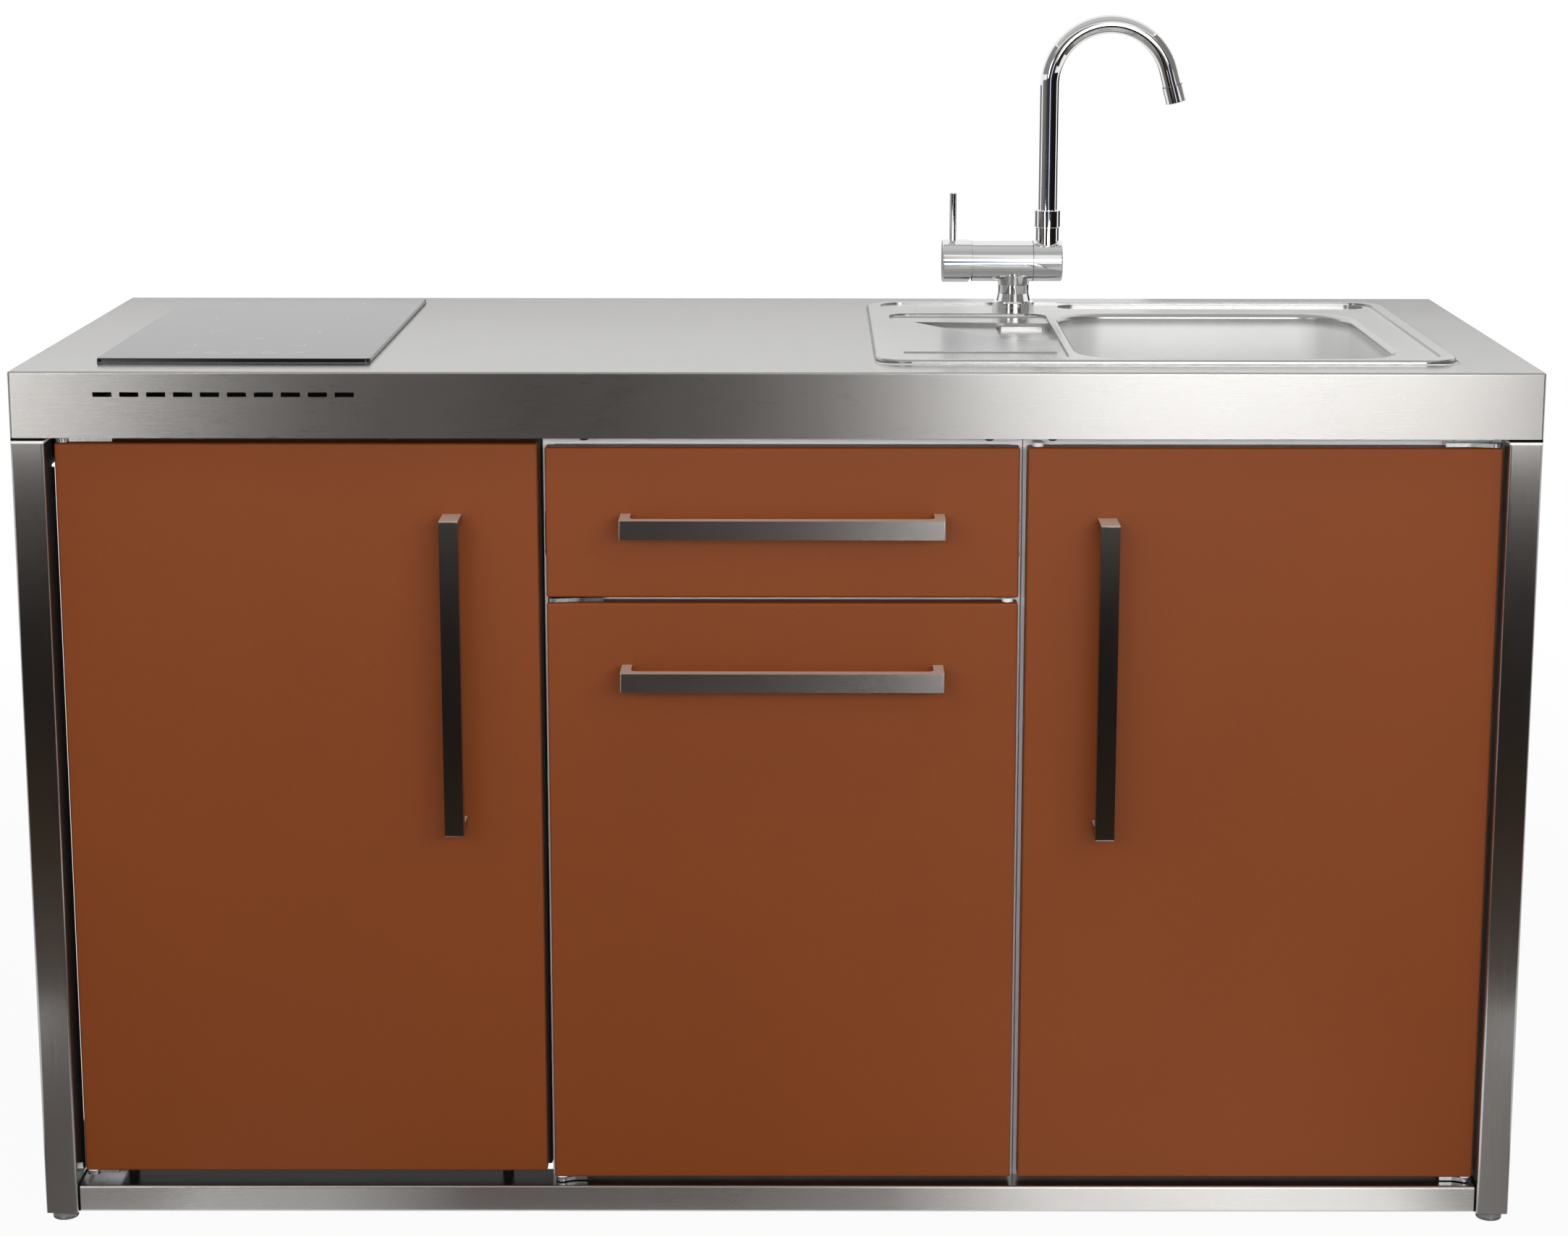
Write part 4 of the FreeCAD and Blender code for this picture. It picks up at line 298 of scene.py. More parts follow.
# frame and shadedUprightHandle are darker copies of the same steel: painted shade; handleTopHighlight is a painted
# highlight on the handles' top faces
steel = {"worktop": (0.60, 0.59, 0.575), "rail": (0.60, 0.59, 0.575), "frame": (0.46, 0.45, 0.445),
         "handle": (0.56, 0.54, 0.52), "shadedUprightHandle": (0.34, 0.325, 0.31),
         "handleTopHighlight": (0.66, 0.58, 0.50)}
brush = {"along": 22, "across": 1500, "clouds": 4.0, "anisotropy": 0.9, "lineStrength": 0.12, "lineHeight": 0.0002}


def brushedSteel(name, colour, along, rough=0.29, streaks=0.06, top=None, level=0.77, paintedLight=None, paintedTopLight=None):
    # along: the axis that the brush lines follow on upright faces; top: the one on level faces
    f = Finish(name)
    long, fine = brush["along"], brush["across"]
    stretch = {"x": (long, fine, fine), "y": (fine, long, fine), "z": (fine, fine, long)}
    upright = f.noise(1.0, 4, 0.7, f.stretched(stretch[along]))
    flatLines = f.noise(1.0, 4, 0.7, f.stretched(stretch[top or along]))
    isLevel = abs(f.axis("Z", f.facing)).above(0.7)
    lines = isLevel * flatLines + (1 - isLevel) * upright
    clouds = f.noise(brush["clouds"], 4, 0.6)
    tone = (lines - 0.5) * streaks * 9 + (clouds - 0.5) * 0.8 + 0.5
    shades = [tuple(min(1.0, c * (1 + way * streaks)) for c in colour) for way in (-1, 1)]
    base = f.blend(tone.spread(0, 1), *shades)
    # level faces painted darker by 1 - level: painted shade
    base = f.blend(isLevel * (1 - level), base, (0, 0, 0))
    metal = 1.0
    # painted light and shade for the piece
    if paintedLight:
        base, metal = paintedLight(f, base)
    if paintedTopLight:  # level faces painted lighter and made matt: a painted highlight on the top faces
        base, metal = f.blend(isLevel, base, paintedTopLight), 1 - isLevel * 0.7
    common = {"Base Color": base, "Metallic": metal,
              "Normal": f.bump(lines, brush["lineStrength"], brush["lineHeight"])}
    # the glint on upright faces spreads across the brush lines
    side = f.node("ShaderNodeBsdfPrincipled", {}, {
        **common, "Anisotropic": brush["anisotropy"], "Anisotropic Rotation": 0.0 if along == "z" else 0.25,
        "Roughness": (lines - 0.5) * 0.12 + (clouds - 0.5) * 0.06 + rough})
    flat = f.node("ShaderNodeBsdfPrincipled", {}, {**common, "Roughness": (lines - 0.5) * 0.1 + rough * 0.75})
    both = f.node("ShaderNodeMixShader", {}, [isLevel, side, flat])
    f.node("ShaderNodeOutputMaterial", {}, {"Surface": both})
    return f.material


# the light edge colour is a painted highlight, the dark gap colour painted shade
legEnds = {"edge": 0.8640, "joint": 0.8668, "railEnd": 0.7628, "edgeHighlight": (0.86, 0.86, 0.85), "gap": (0.01, 0.01, 0.01)}


def legHighlightAndShade(f, base):  # a painted highlight along the leg's top edge and painted shade in the gap under the worktop
    z = f.axis("Z")
    edge = z.above(legEnds["edge"]) * z.below(legEnds["joint"])
    joint = z.above(legEnds["joint"])
    return f.blend(joint, f.blend(edge, base, legEnds["edgeHighlight"]), legEnds["gap"]), 1 - edge


def railGapShade(f, base):  # painted shade in the gaps where the rail meets the legs
    return f.blend(abs(f.axis("X")).above(legEnds["railEnd"]), base, legEnds["gap"]), 1.0


def sinkSteel(name):
    # satin pressed sheet: fine brush lines on the rim and drainer, softer down in the bowl, where the sheet is
    # painted brighter and less metallic: a painted highlight
    f = Finish(name)
    lines = f.noise(1.0, 4, 0.7, f.stretched((40, 1300, 40)))
    swirl = f.noise(160, 3)
    deep = f.axis("Z").spread(0.936, 0.925)  # 0 on the rim, 1 down in the bowl
    wide = f.noise(5, 3)
    tone = (lines - 0.5) * 0.5 + (wide - 0.5) * 0.8 + 0.5
    rim = f.blend(tone.spread(0, 1), (0.52, 0.52, 0.515), (0.60, 0.60, 0.595))
    # the bowl's bright colour is a painted highlight
    bowl = f.blend(wide.spread(0.3, 0.7), (0.91, 0.91, 0.905), (0.96, 0.96, 0.955))
    height = lines * 0.9 + swirl * 0.1
    return f.surface(f.blend(deep, rim, bowl), {
        "Metallic": 1 - deep * 0.3, "Roughness": (lines - 0.5) * 0.06 + deep * 0.08 + 0.25,
        "Normal": f.bump(height, 0.02, 0.00005)})


def powderCoat(name, colour, rough=0.5, grain=0.25, shine=0.5):
    f = Finish(name)
    pebble = f.noise(900, 2)
    wide = f.noise(2.5, 3)
    base = f.blend((pebble * 0.5 + wide * 0.5).spread(0.3, 0.7),
                   tuple(c * 0.94 for c in colour), tuple(c * 1.05 for c in colour))
    return f.surface(base, {"Roughness": (pebble - 0.5) * 0.14 + rough, "Specular IOR Level": shine,
                            "Normal": f.bump(pebble, grain, 0.00025)})


def mouldedPlastic(name, colour, rough=0.4, alpha=None, grain=0.12):
    f = Finish(name)
    pits = f.noise(1500, 2)
    wide = f.noise(12, 2)
    base = f.blend(wide.spread(0.3, 0.7), tuple(c * 0.95 for c in colour), tuple(min(1, c * 1.03) for c in colour))
    values = {"Roughness": (pits - 0.5) * 0.15 + (wide - 0.5) * 0.1 + rough, "Normal": f.bump(pits, grain, 0.0002)}
    if alpha:
        values["Alpha"] = alpha
    return f.surface(base, values)


def plainMetal(name, colour, rough):
    f = Finish(name)
    crystals = f.cells(160)
    wide = f.noise(30, 3)
    base = f.blend((crystals * 0.6 + wide * 0.5).spread(0.2, 0.9), tuple(c * 0.8 for c in colour), colour)
    return f.surface(base, {"Metallic": 1.0, "Roughness": (wide - 0.5) * 0.2 + rough,
                            "Normal": f.bump(crystals, 0.08, 0.0003)})


def polishedChrome(name):
    f = Finish(name)
    haze = f.noise(22, 4, 0.6)
    wipes = f.noise(1.0, 3, 0.6, f.stretched((60, 60, 400)))
    return f.surface(f.blend(haze, (0.78, 0.785, 0.79), (0.86, 0.86, 0.86)),
                     {"Metallic": 1.0, "Roughness": haze.spread(0.5, 0.8) * 0.04 + wipes * 0.02 + 0.02,
                      "Normal": f.bump(haze, 0.015, 0.001)})


def rubberSeal(name, colour):
    f = Finish(name)
    dust = f.noise(60, 4, 0.7)
    base = f.blend(dust.spread(0.35, 0.75), colour, tuple(c * 1.35 for c in colour))
    return f.surface(base, {"Roughness": dust * 0.2 + 0.6, "Normal": f.bump(f.noise(900, 2), 0.15, 0.0003)})


def clearPane(name, colour, alpha):
    # clear on its faces, green along its cut edges
    f = Finish(name)
    haze = f.noise(14, 3)
    edge = abs(f.axis("Z", f.facing)).below(0.5)
    return f.surface(f.blend(edge, colour, (0.42, 0.62, 0.55)),
                     {"Roughness": haze * 0.06 + 0.06, "Alpha": edge * (0.85 - alpha) + alpha,
                      "Normal": f.bump(haze, 0.02, 0.001)})


hobPrint = {"centre": -0.576, "zones": ((-0.0765, 0.060), (0.1575, 0.076)), "corner": 0.016, "line": 0.0007,
            "cross": 0.006, "touch": -0.190, "pitch": 0.030, "steps": (-2, -1, 0, 1, 2), "plus": (-1, 2),
            "ring": 0.0065, "sign": 0.003, "top": 0.9445, "glass": (0.006, 0.006, 0.007), "ink": (0.62, 0.62, 0.62)}


def hobGlass(name):
    # black glass with printed corner marks round both zones and touch marks near the front
    f = Finish(name)
    x, y = f.axis("X"), f.axis("Y")
    dx = abs(x - hobPrint["centre"])
    line, sign = hobPrint["line"], hobPrint["sign"]
    thin = line * 0.8
    shapes = []
    for zone, half in hobPrint["zones"]:
        dy = abs(y - zone)
        corners = abs(dx.highest(dy) - half).below(line) * dx.lowest(dy).above(half - hobPrint["corner"])
        cross = dx.highest(dy).below(hobPrint["cross"]) * dx.lowest(dy).below(thin)
        shapes += [corners, cross]
    ty = abs(y - hobPrint["touch"])
    for step in hobPrint["steps"]:
        tx = abs(x - (hobPrint["centre"] + step * hobPrint["pitch"]))
        away = f.length(f.node("ShaderNodeCombineXYZ", {}, [tx, ty, 0.0]))
        shapes += [abs(away - hobPrint["ring"]).below(thin), tx.below(sign) * ty.below(thin)]
        if step in hobPrint["plus"]:
            shapes.append(tx.below(thin) * ty.below(sign))
    printed = shapes[0]
    for shape in shapes[1:]:
        printed = printed.highest(shape)
    printed = printed * f.axis("Z").above(hobPrint["top"])
    smear = f.noise(9, 4, 0.6)
    return f.surface(f.blend(printed, hobPrint["glass"], hobPrint["ink"]),
                     {"Roughness": smear.spread(0.45, 0.8) * 0.03 + printed * 0.3 + 0.035,
                      "Normal": f.bump(smear, 0.01, 0.001)})


def makeFinishes():
    dress(brushedSteel("worktopSteel", steel["worktop"], "x"), "worktop")
    # the legs' steel is painted darker than the worktop's: painted shade
    dress(brushedSteel("legSteel", steel["frame"], "z", 0.2, top="y", paintedLight=legHighlightAndShade),
          "left_side_frame", "right_side_frame")
    dress(brushedSteel("railSteel", steel["rail"], "x", paintedLight=railGapShade), "frame_rails")
    # the upright handles are painted darker than the level ones: painted shade for the dark floor their faces reflect
    dress(brushedSteel("handleSteelUpright", steel["shadedUprightHandle"], "z", 0.2, top="y", level=1.0,
                       paintedTopLight=steel["handleTopHighlight"]), "left_door_handle", "right_door_handle")
    # the handles' top faces carry a painted highlight
    dress(brushedSteel("handleSteelLevel", steel["handle"], "x", 0.24, level=1.0,
                       paintedTopLight=steel["handleTopHighlight"]), "middle_door_handle", "drawer_handle")
    dress(sinkSteel("sinkSteel"), "sink")
    dress(plainMetal("pressedSteel", (0.72, 0.72, 0.71), 0.25), "sink_waste", "strainer_basket", "hob_casing")
    dress(polishedChrome("tapChrome"), "tap_base_ring", "tap_body", "tap_lever_cap", "tap_lever_pin",
          "tap_fold_joint", "tap_swivel_ring", "tap_spout", "tap_aerator")
    dress(powderCoat("doorCoat", (0.205, 0.0445, 0.0045), 0.46, 0.2, 0.28), "left_door_skin", "middle_door_skin",
          "right_door_skin", "drawer_front")
    dress(powderCoat("cabinetCoat", (0.90, 0.92, 0.935), 0.45), "middle_cabinet", "middle_shelf", "right_cabinet",
          "drawer_box", "middle_door_core", "right_door_core")
    dress(powderCoat("fridgeCoat", (0.022, 0.022, 0.022), 0.5), "fridge_case", "fridge_compressor",
          "fridge_condenser")
    dress(mouldedPlastic("whitePlastic", (0.82, 0.82, 0.81), 0.35), "door_catches", "fridge_liner", "fridge_ribs",
          "left_door_liner", "thermostat_knob", "waste_pipework")
    dress(mouldedPlastic("greyPlastic", (0.20, 0.20, 0.205), 0.5), "levelling_feet")
    dress(mouldedPlastic("clearPlastic", (0.80, 0.86, 0.90), 0.12, 0.35), "left_door_shelves")
    dress(mouldedPlastic("cartridgePlastic", (0.7, 0.7, 0.68), 0.45), "tap_cartridge")
    dress(clearPane("shelfGlass", (0.85, 0.93, 0.9), 0.18), "fridge_shelves")
    dress(rubberSeal("doorSeal", (0.10, 0.10, 0.105)), "left_door_gasket")
    dress(plainMetal("zincPlate", (0.66, 0.67, 0.68), 0.28), "hinge_brackets", "drawer_outer_runners",
          "drawer_middle_runners", "drawer_inner_runners", "left_door_handle_screws", "middle_door_handle_screws",
          "right_door_handle_screws", "drawer_handle_screws", "sink_clips")
    dress(plainMetal("turnedBrass", (0.72, 0.50, 0.22), 0.26), "tap_fixing", "tap_spindle")
    dress(mouldedPlastic("boardGreen", (0.02, 0.13, 0.05), 0.35), "hob_control_board")
    dress(mouldedPlastic("heaterCeramic", (0.62, 0.58, 0.50), 0.85, grain=0.4), "hob_heaters")
    dress(mouldedPlastic("chipBoard", (0.42, 0.30, 0.18), 0.8, grain=0.5), "worktop_core", "left_door_core")
    dress(hobGlass("hobGlass"), "hob_glass")
    # finishes of the added pieces alone
    powderCoat("blackSteel", (0.012, 0.012, 0.013), 0.4)
    # near-black finish for the strips in the leg slits: painted shade
    rubberSeal("slitShadeBlack", (0.008, 0.008, 0.008))
    plainMetal("weldSteel", (0.45, 0.43, 0.40), 0.35)
    mouldedPlastic("lampPlastic", (0.86, 0.86, 0.80), 0.2, 0.8)
    mouldedPlastic("redPlastic", (0.45, 0.02, 0.015), 0.35)
    mouldedPlastic("blackPlastic", (0.015, 0.015, 0.016), 0.4)
    powderCoat("platePaint", (0.74, 0.76, 0.78), 0.35)
    plainMetal("copperTube", (0.62, 0.27, 0.14), 0.3)
    rubberSeal("sealant", (0.55, 0.55, 0.54))
    print("finishes done")


# Mesh helpers

def addPiece(name, data, body, coat, rounding=0.0):
    made = bpy.data.objects.new(name, data)
    bpy.context.scene.collection.objects.link(made)
    data.materials.append(bpy.data.materials[coat])
    if rounding:
        edge = made.modifiers.new("softEdges", "BEVEL")
        edge.width = rounding
        edge.segments = 2
        edge.limit_method = "ANGLE"
    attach(made, body)


def meshFrom(name, bm, smooth=True):
    mesh = bpy.data.meshes.new(name)
    bmesh.ops.recalc_face_normals(bm, faces=bm.faces)
    bm.to_mesh(mesh)
    bm.free()
    if smooth:
        mesh.shade_smooth()
        mesh.set_sharp_from_angle(angle=math.radians(35))
    return mesh


def turnInto(bm, profile, at, along, steps=32):
    # adds the profile of (radius, height) turned about an axis that starts at a point
    along = Vector(along).normalized()
    side = along.orthogonal().normalized()
    other = along.cross(side)
    rings = []
    for radius, height in profile:
        centre = Vector(at) + along * height
        if radius < 1e-7:
            rings.append([bm.verts.new(centre)])
            continue
        ring = []
        for i in range(steps):
            turn = 2 * math.pi * i / steps
            ring.append(bm.verts.new(centre + side * radius * math.cos(turn) + other * radius * math.sin(turn)))
        rings.append(ring)
    for low, high in zip(rings, rings[1:]):
        for i in range(steps):
            j = (i + 1) % steps
            face = [low[i % len(low)], low[j % len(low)], high[j % len(high)], high[i % len(high)]]
            corners = [v for k, v in enumerate(face) if v not in face[:k]]
            if len(corners) > 2:
                bm.faces.new(corners)


def barInto(bm, x0, x1, y0, y1, z0, z1):
    corners = [bm.verts.new((x, y, z)) for z in (z0, z1) for y in (y0, y1) for x in (x0, x1)]
    for face in ((0, 1, 3, 2), (4, 6, 7, 5), (0, 4, 5, 1), (2, 3, 7, 6), (0, 2, 6, 4), (1, 5, 7, 3)):
        bm.faces.new([corners[i] for i in face])


def boxInto(bm, centre, right, up, width, height, depth):
    # a small block: right and up span its face, depth goes along right x up
    right, up = Vector(right).normalized(), Vector(up).normalized()
    out = right.cross(up)
    turned = Matrix((right, up, out)).transposed().to_4x4()
    turned.translation = Vector(centre)
    bmesh.ops.create_cube(bm, size=1.0, matrix=turned @ Matrix.Diagonal((width, height, depth, 1)))


def screwInto(bm, at, along, radius):
    # pan head with a cross recess: along points out of the head
    height = radius * 0.62
    turnInto(bm, [(radius * 0.96, 0), (radius, height * 0.15), (radius * 0.93, height * 0.6),
                  (radius * 0.7, height * 0.92), (radius * 0.36, height), (radius * 0.3, height * 0.45),
                  (0, height * 0.3)], at, along, 28)


def loopCorners(left, right, low, high):  # once round a rectangle from the middle of its low side
    mid = (left + right) / 2
    return [(mid, low), (right, low), (right, high), (left, high), (left, low), (mid, low)]


def addTube(name, points, radius, turn, body, coat):
    # a wire or tube through the points, each corner turned with the given radius
    curve = bpy.data.curves.new(name, "CURVE")
    curve.dimensions = "3D"
    curve.bevel_depth = radius
    curve.bevel_resolution = 5
    curve.use_fill_caps = True
    corners = [Vector(p) for p in points]
    path = [corners[0]]
    for before, here, after in zip(corners, corners[1:], corners[2:]):
        into, out = (here - before).normalized(), (after - here).normalized()
        reach = min(turn, (here - before).length * 0.49, (after - here).length * 0.49)
        start, end = here - into * reach, here + out * reach
        path += [start.lerp(here, t).lerp(here.lerp(end, t), t) for t in (i / 8 for i in range(9))]
    path.append(corners[-1])
    spline = curve.splines.new("POLY")
    spline.points.add(len(path) - 1)
    for point, place in zip(spline.points, path):
        point.co = (*place, 1)
    addPiece(name, curve, body, coat)


def softenNodes(width, *names):
    # thin rounding on the sharp edges of folded and welded steel
    for name in names:
        weld = nodes[name].modifiers.new("joinCorners", "WELD")
        weld.merge_threshold = 0.00002
        edge = nodes[name].modifiers.new("softEdges", "BEVEL")
        edge.width = width
        edge.segments = 3
        edge.limit_method = "ANGLE"
        edge.angle_limit = math.radians(40)


# Worktop and frame

apronScrews = {"x": (-0.604, -0.402, -0.202, 0.222, 0.288), "y": -0.2885, "z": 0.870, "radius": 0.0048}


def makeApronScrews():
    # screw heads under the worktop's front edge
    bm = bmesh.new()
    for x in apronScrews["x"]:
        screwInto(bm, (x, apronScrews["y"], apronScrews["z"]), (0, 0, -1), apronScrews["radius"])
    addPiece("apronScrews", meshFrom("apronScrews", bm), "unit", "blackSteel")


slitShadeStrips = {"x": (0.7634, 0.7775), "y": (-0.2612, -0.2584), "z": (0.048, 0.833), "rightInset": 0.0012,
              "rounding": 0.0006}


def makeSlitShadeStrips():
    # near-black strips in the slits between the legs and the cabinets: a dark sheet that stands in for the painted
    # shade there
    bm = bmesh.new()
    (x0, x1), (y0, y1), (z0, z1) = slitShadeStrips["x"], slitShadeStrips["y"], slitShadeStrips["z"]
    barInto(bm, -x1, -x0, y0, y1, z0, z1)
    barInto(bm, x0 + slitShadeStrips["rightInset"], x1, y0, y1, z0, z1)
    addPiece("slitShadeStrips", meshFrom("slitShadeStrips", bm, False), "unit", "slitShadeBlack",
             slitShadeStrips["rounding"])


weldBeads = {"radius": 0.0016, "ripples": 13, "x": (0.767, 0.798), "y": (-0.2615, 0.2885), "z": (0.045, 0.835)}


def makeWeldBeads():
    # rippled beads in the inner corners of the side frames
    radius, ripples = weldBeads["radius"], weldBeads["ripples"]
    start, end = weldBeads["x"]
    step = (end - start) / ripples
    profile = [(0, 0)]
    for i in range(ripples):
        profile += [(radius * 0.8, i * step + step * 0.1), (radius, i * step + step * 0.55)]
    profile.append((0, end - start))
    bm = bmesh.new()
    for side in (-1, 1):
        for y in weldBeads["y"]:
            for z in weldBeads["z"]:
                turnInto(bm, profile, (side * start, y, z), (side, 0, 0), 14)
    addPiece("weldBeads", meshFrom("weldBeads", bm), "unit", "weldSteel")


footDetails = {"x": 0.7825, "y": (-0.279, 0.306),
               "nut": [(0.00475, 0.0078), (0.008835, 0.0078), (0.0095, 0.0084), (0.0095, 0.0093),
                       (0.008835, 0.0098), (0.00475, 0.0098)],
               "tread": [(0.0136, 0.0002), (0.0139, 0.0008), (0.0139, 0.0022), (0.0136, 0.0028)]}


def makeFootDetails():
    # lock nut under each leg and a soft tread round each pad
    nuts, treads = bmesh.new(), bmesh.new()
    for side in (-1, 1):
        for y in footDetails["y"]:
            at = (side * footDetails["x"], y, 0)
            turnInto(nuts, footDetails["nut"], at, (0, 0, 1), 6)
            turnInto(treads, footDetails["tread"], at, (0, 0, 1), 40)
    addPiece("footNuts", meshFrom("footNuts", nuts, False), "unit", "zincPlate")
    addPiece("footTreads", meshFrom("footTreads", treads), "unit", "doorSeal")


# Hinges

hingeTrim = {"y": -0.2755, "rivets": ((-0.750, 0.8668, 0.0060), (-0.236, 0.6958, 0.0050), (0.754, 0.869, 0.0055)),
             "rivetRise": 0.0009, "washers": ((-0.750, 0.0527), (-0.236, 0.0457), (0.754, 0.0457)),
             "washer": [(0.0032, 0), (0.0068, 0), (0.0072, 0.0004), (0.0068, 0.001), (0.0032, 0.001)]}


def makeHingeTrim():
    # rivet heads on the pivots and nylon washers under the doors
    rivets, washers = bmesh.new(), bmesh.new()
    for x, top, r in hingeTrim["rivets"]:
        turnInto(rivets, [(0, 0.0009), (r * 0.6, 0.0008), (r * 0.92, 0.0004), (r, 0), (r, -0.0012)],
                 (x, hingeTrim["y"], top - hingeTrim["rivetRise"]), (0, 0, 1), 28)
    for x, z in hingeTrim["washers"]:
        turnInto(washers, hingeTrim["washer"], (x, hingeTrim["y"], z), (0, 0, 1), 28)
    addPiece("hingeRivets", meshFrom("hingeRivets", rivets), "unit", "tapChrome")
    addPiece("hingeWashers", meshFrom("hingeWashers", washers), "unit", "whitePlastic")


# Doors and drawer

doorBuffers = {"radius": 0.0045, "height": 0.0022, "back": -0.2615,
               "doors": {"middle_door": ("middleDoorBuffers", 0.247, (0.066, 0.655)),
                         "right_door": ("rightDoorBuffers", 0.271, (0.066, 0.815))}}


def makeDoorBuffers():
    # clear soft dots where the door meets the cabinet
    r, h = doorBuffers["radius"], doorBuffers["height"]
    for door, (name, x, heights) in doorBuffers["doors"].items():
        bm = bmesh.new()
        for z in heights:
            turnInto(bm, [(r, 0), (r * 0.94, h * 0.55), (r * 0.6, h * 0.92), (0, h)],
                     (x, doorBuffers["back"], z), (0, 1, 0), 24)
        addPiece(name, meshFrom(name, bm), door, "clearPlastic")


drawerRivets = {"y": (-0.215, -0.035, 0.145), "z": 0.762, "radius": 0.0042, "walls": ((-0.2326, 1), (0.2436, -1))}


def makeDrawerRivets():
    # rivet heads inside the drawer's side walls
    bm = bmesh.new()
    r = drawerRivets["radius"]
    for x, way in drawerRivets["walls"]:
        for y in drawerRivets["y"]:
            turnInto(bm, [(r, 0), (r * 0.9, 0.0006), (r * 0.5, 0.0012), (0, 0.0014)],
                     (x, y, drawerRivets["z"]), (way, 0, 0), 22)
    addPiece("drawerRivets", meshFrom("drawerRivets", bm), "drawer", "zincPlate")


runnerBalls = {"radius": 0.000945, "pitch": 0.009, "count": 18, "start": 0.02, "rows": (0.7437, 0.7803),
               "tracks": (-0.2421, 0.2531), "cage": (0.0012, 0.0004), "cageLead": 0.006}


def makeRunnerBalls():
    # steel balls and their retainers along the middle runner members
    balls, cages = bmesh.new(), bmesh.new()
    start, reach = runnerBalls["start"], runnerBalls["count"] * runnerBalls["pitch"]
    halfWide, halfHigh = runnerBalls["cage"]
    for x in runnerBalls["tracks"]:
        for z in runnerBalls["rows"]:
            for i in range(runnerBalls["count"]):
                place = Matrix.Translation((x, start + i * runnerBalls["pitch"], z))
                bmesh.ops.create_icosphere(balls, subdivisions=2, radius=runnerBalls["radius"], matrix=place)
            barInto(cages, x - halfWide, x + halfWide, start - runnerBalls["cageLead"], start + reach,
                    z - halfHigh, z + halfHigh)
    addPiece("runnerBalls", meshFrom("runnerBalls", balls), "runners", "tapChrome")
    addPiece("runnerCages", meshFrom("runnerCages", cages, False), "runners", "zincPlate")


shelfHoles = {"walls": ((-0.2463, 1), (0.2573, -1)), "rows": (-0.200, 0.235), "first": 0.180, "pitch": 0.032,
              "count": 13, "radius": 0.0025}


def makeShelfHoles():
    # dark sockets at a 32 mm pitch for the shelf's pins
    bm = bmesh.new()
    r = shelfHoles["radius"]
    for x, way in shelfHoles["walls"]:
        for y in shelfHoles["rows"]:
            for i in range(shelfHoles["count"]):
                turnInto(bm, [(r * 1.25, 0), (r * 1.25, 0.0004), (r, 0.0005), (r * 0.9, 0.0001), (0, 0.0001)],
                         (x, y, shelfHoles["first"] + i * shelfHoles["pitch"]), (way, 0, 0), 16)
    addPiece("shelfHoles", meshFrom("shelfHoles", bm), "unit", "greyPlastic")


backRivets = {"y": 0.2835, "height": 0.0009, "radius": 0.0040, "z": (0.075, 0.300, 0.560, 0.835),
              "x": (-0.235, 0.005, 0.246, 0.272, 0.512, 0.752), "opening": (0.342, 0.682, 0.47, 0.79)}


def makeBackRivets():
    # blind rivets that hold the cabinets' back sheets
    bm = bmesh.new()
    r, h = backRivets["radius"], backRivets["height"]
    x0, x1, z0, z1 = backRivets["opening"]
    for x in backRivets["x"]:
        for z in backRivets["z"]:
            if x0 < x < x1 and z0 < z < z1:
                continue
            turnInto(bm, [(r, 0), (r * 0.85, h * 0.7), (r * 0.4, h), (r * 0.3, h * 0.55), (0, h * 0.5)],
                     (x, backRivets["y"], z), (0, 1, 0), 20)
    addPiece("backRivets", meshFrom("backRivets", bm), "unit", "zincPlate")


# Refrigerator

shelfTrims = {"x": (-0.7215, -0.2900), "z": (0.420, 0.550, 0.680), "front": (-0.1630, -0.1565, -0.0015, 0.0075),
              "back": (0.2445, 0.2515, 0.0002, 0.0085), "backInset": 0.006, "rounding": 0.0011}


def makeShelfTrims():
    # white strips clipped over the front and back edges of the glass shelves
    bm = bmesh.new()
    x0, x1 = shelfTrims["x"]
    for z in shelfTrims["z"]:
        for key, inset in (("front", 0), ("back", shelfTrims["backInset"])):
            y0, y1, low, high = shelfTrims[key]
            barInto(bm, x0 + inset, x1 - inset, y0, y1, z + low, z + high)
    addPiece("shelfTrims", meshFrom("shelfTrims", bm, False), "unit", "whitePlastic",
             shelfTrims["rounding"])


lampCover = {"x": (-0.3055, -0.2887), "y": (-0.030, 0.062), "z": (0.748, 0.798), "rim": 0.004, "baseFront": 0.0125,
             "cover": (0.002, 0.013), "ribs": 9, "ribDepth": 0.003, "ribHalf": 0.0016, "rounding": (0.002, 0.001)}


def makeLampCover():
    # a ribbed cover over the lamp on a white base
    (x0, x1), (y0, y1), (z0, z1) = lampCover["x"], lampCover["y"], lampCover["z"]
    (near, far), rim, half = lampCover["cover"], lampCover["rim"], lampCover["ribHalf"]
    base, cover = bmesh.new(), bmesh.new()
    barInto(base, x0 + lampCover["baseFront"], x1, y0 - rim, y1 + rim, z0 - rim, z1 + rim)
    barInto(cover, x0 + near, x0 + far, y0, y1, z0, z1)
    pitch = (y1 - y0) / (lampCover["ribs"] + 1)
    for i in range(lampCover["ribs"]):
        y = y0 + (i + 1) * pitch
        barInto(cover, x0, x0 + lampCover["ribDepth"], y - half, y + half, z0 + rim, z1 - rim)
    baseRound, coverRound = lampCover["rounding"]
    addPiece("lampBase", meshFrom("lampBase", base, False), "unit", "whitePlastic", baseRound)
    addPiece("lampCover", meshFrom("lampCover", cover, False), "unit", "lampPlastic", coverRound)


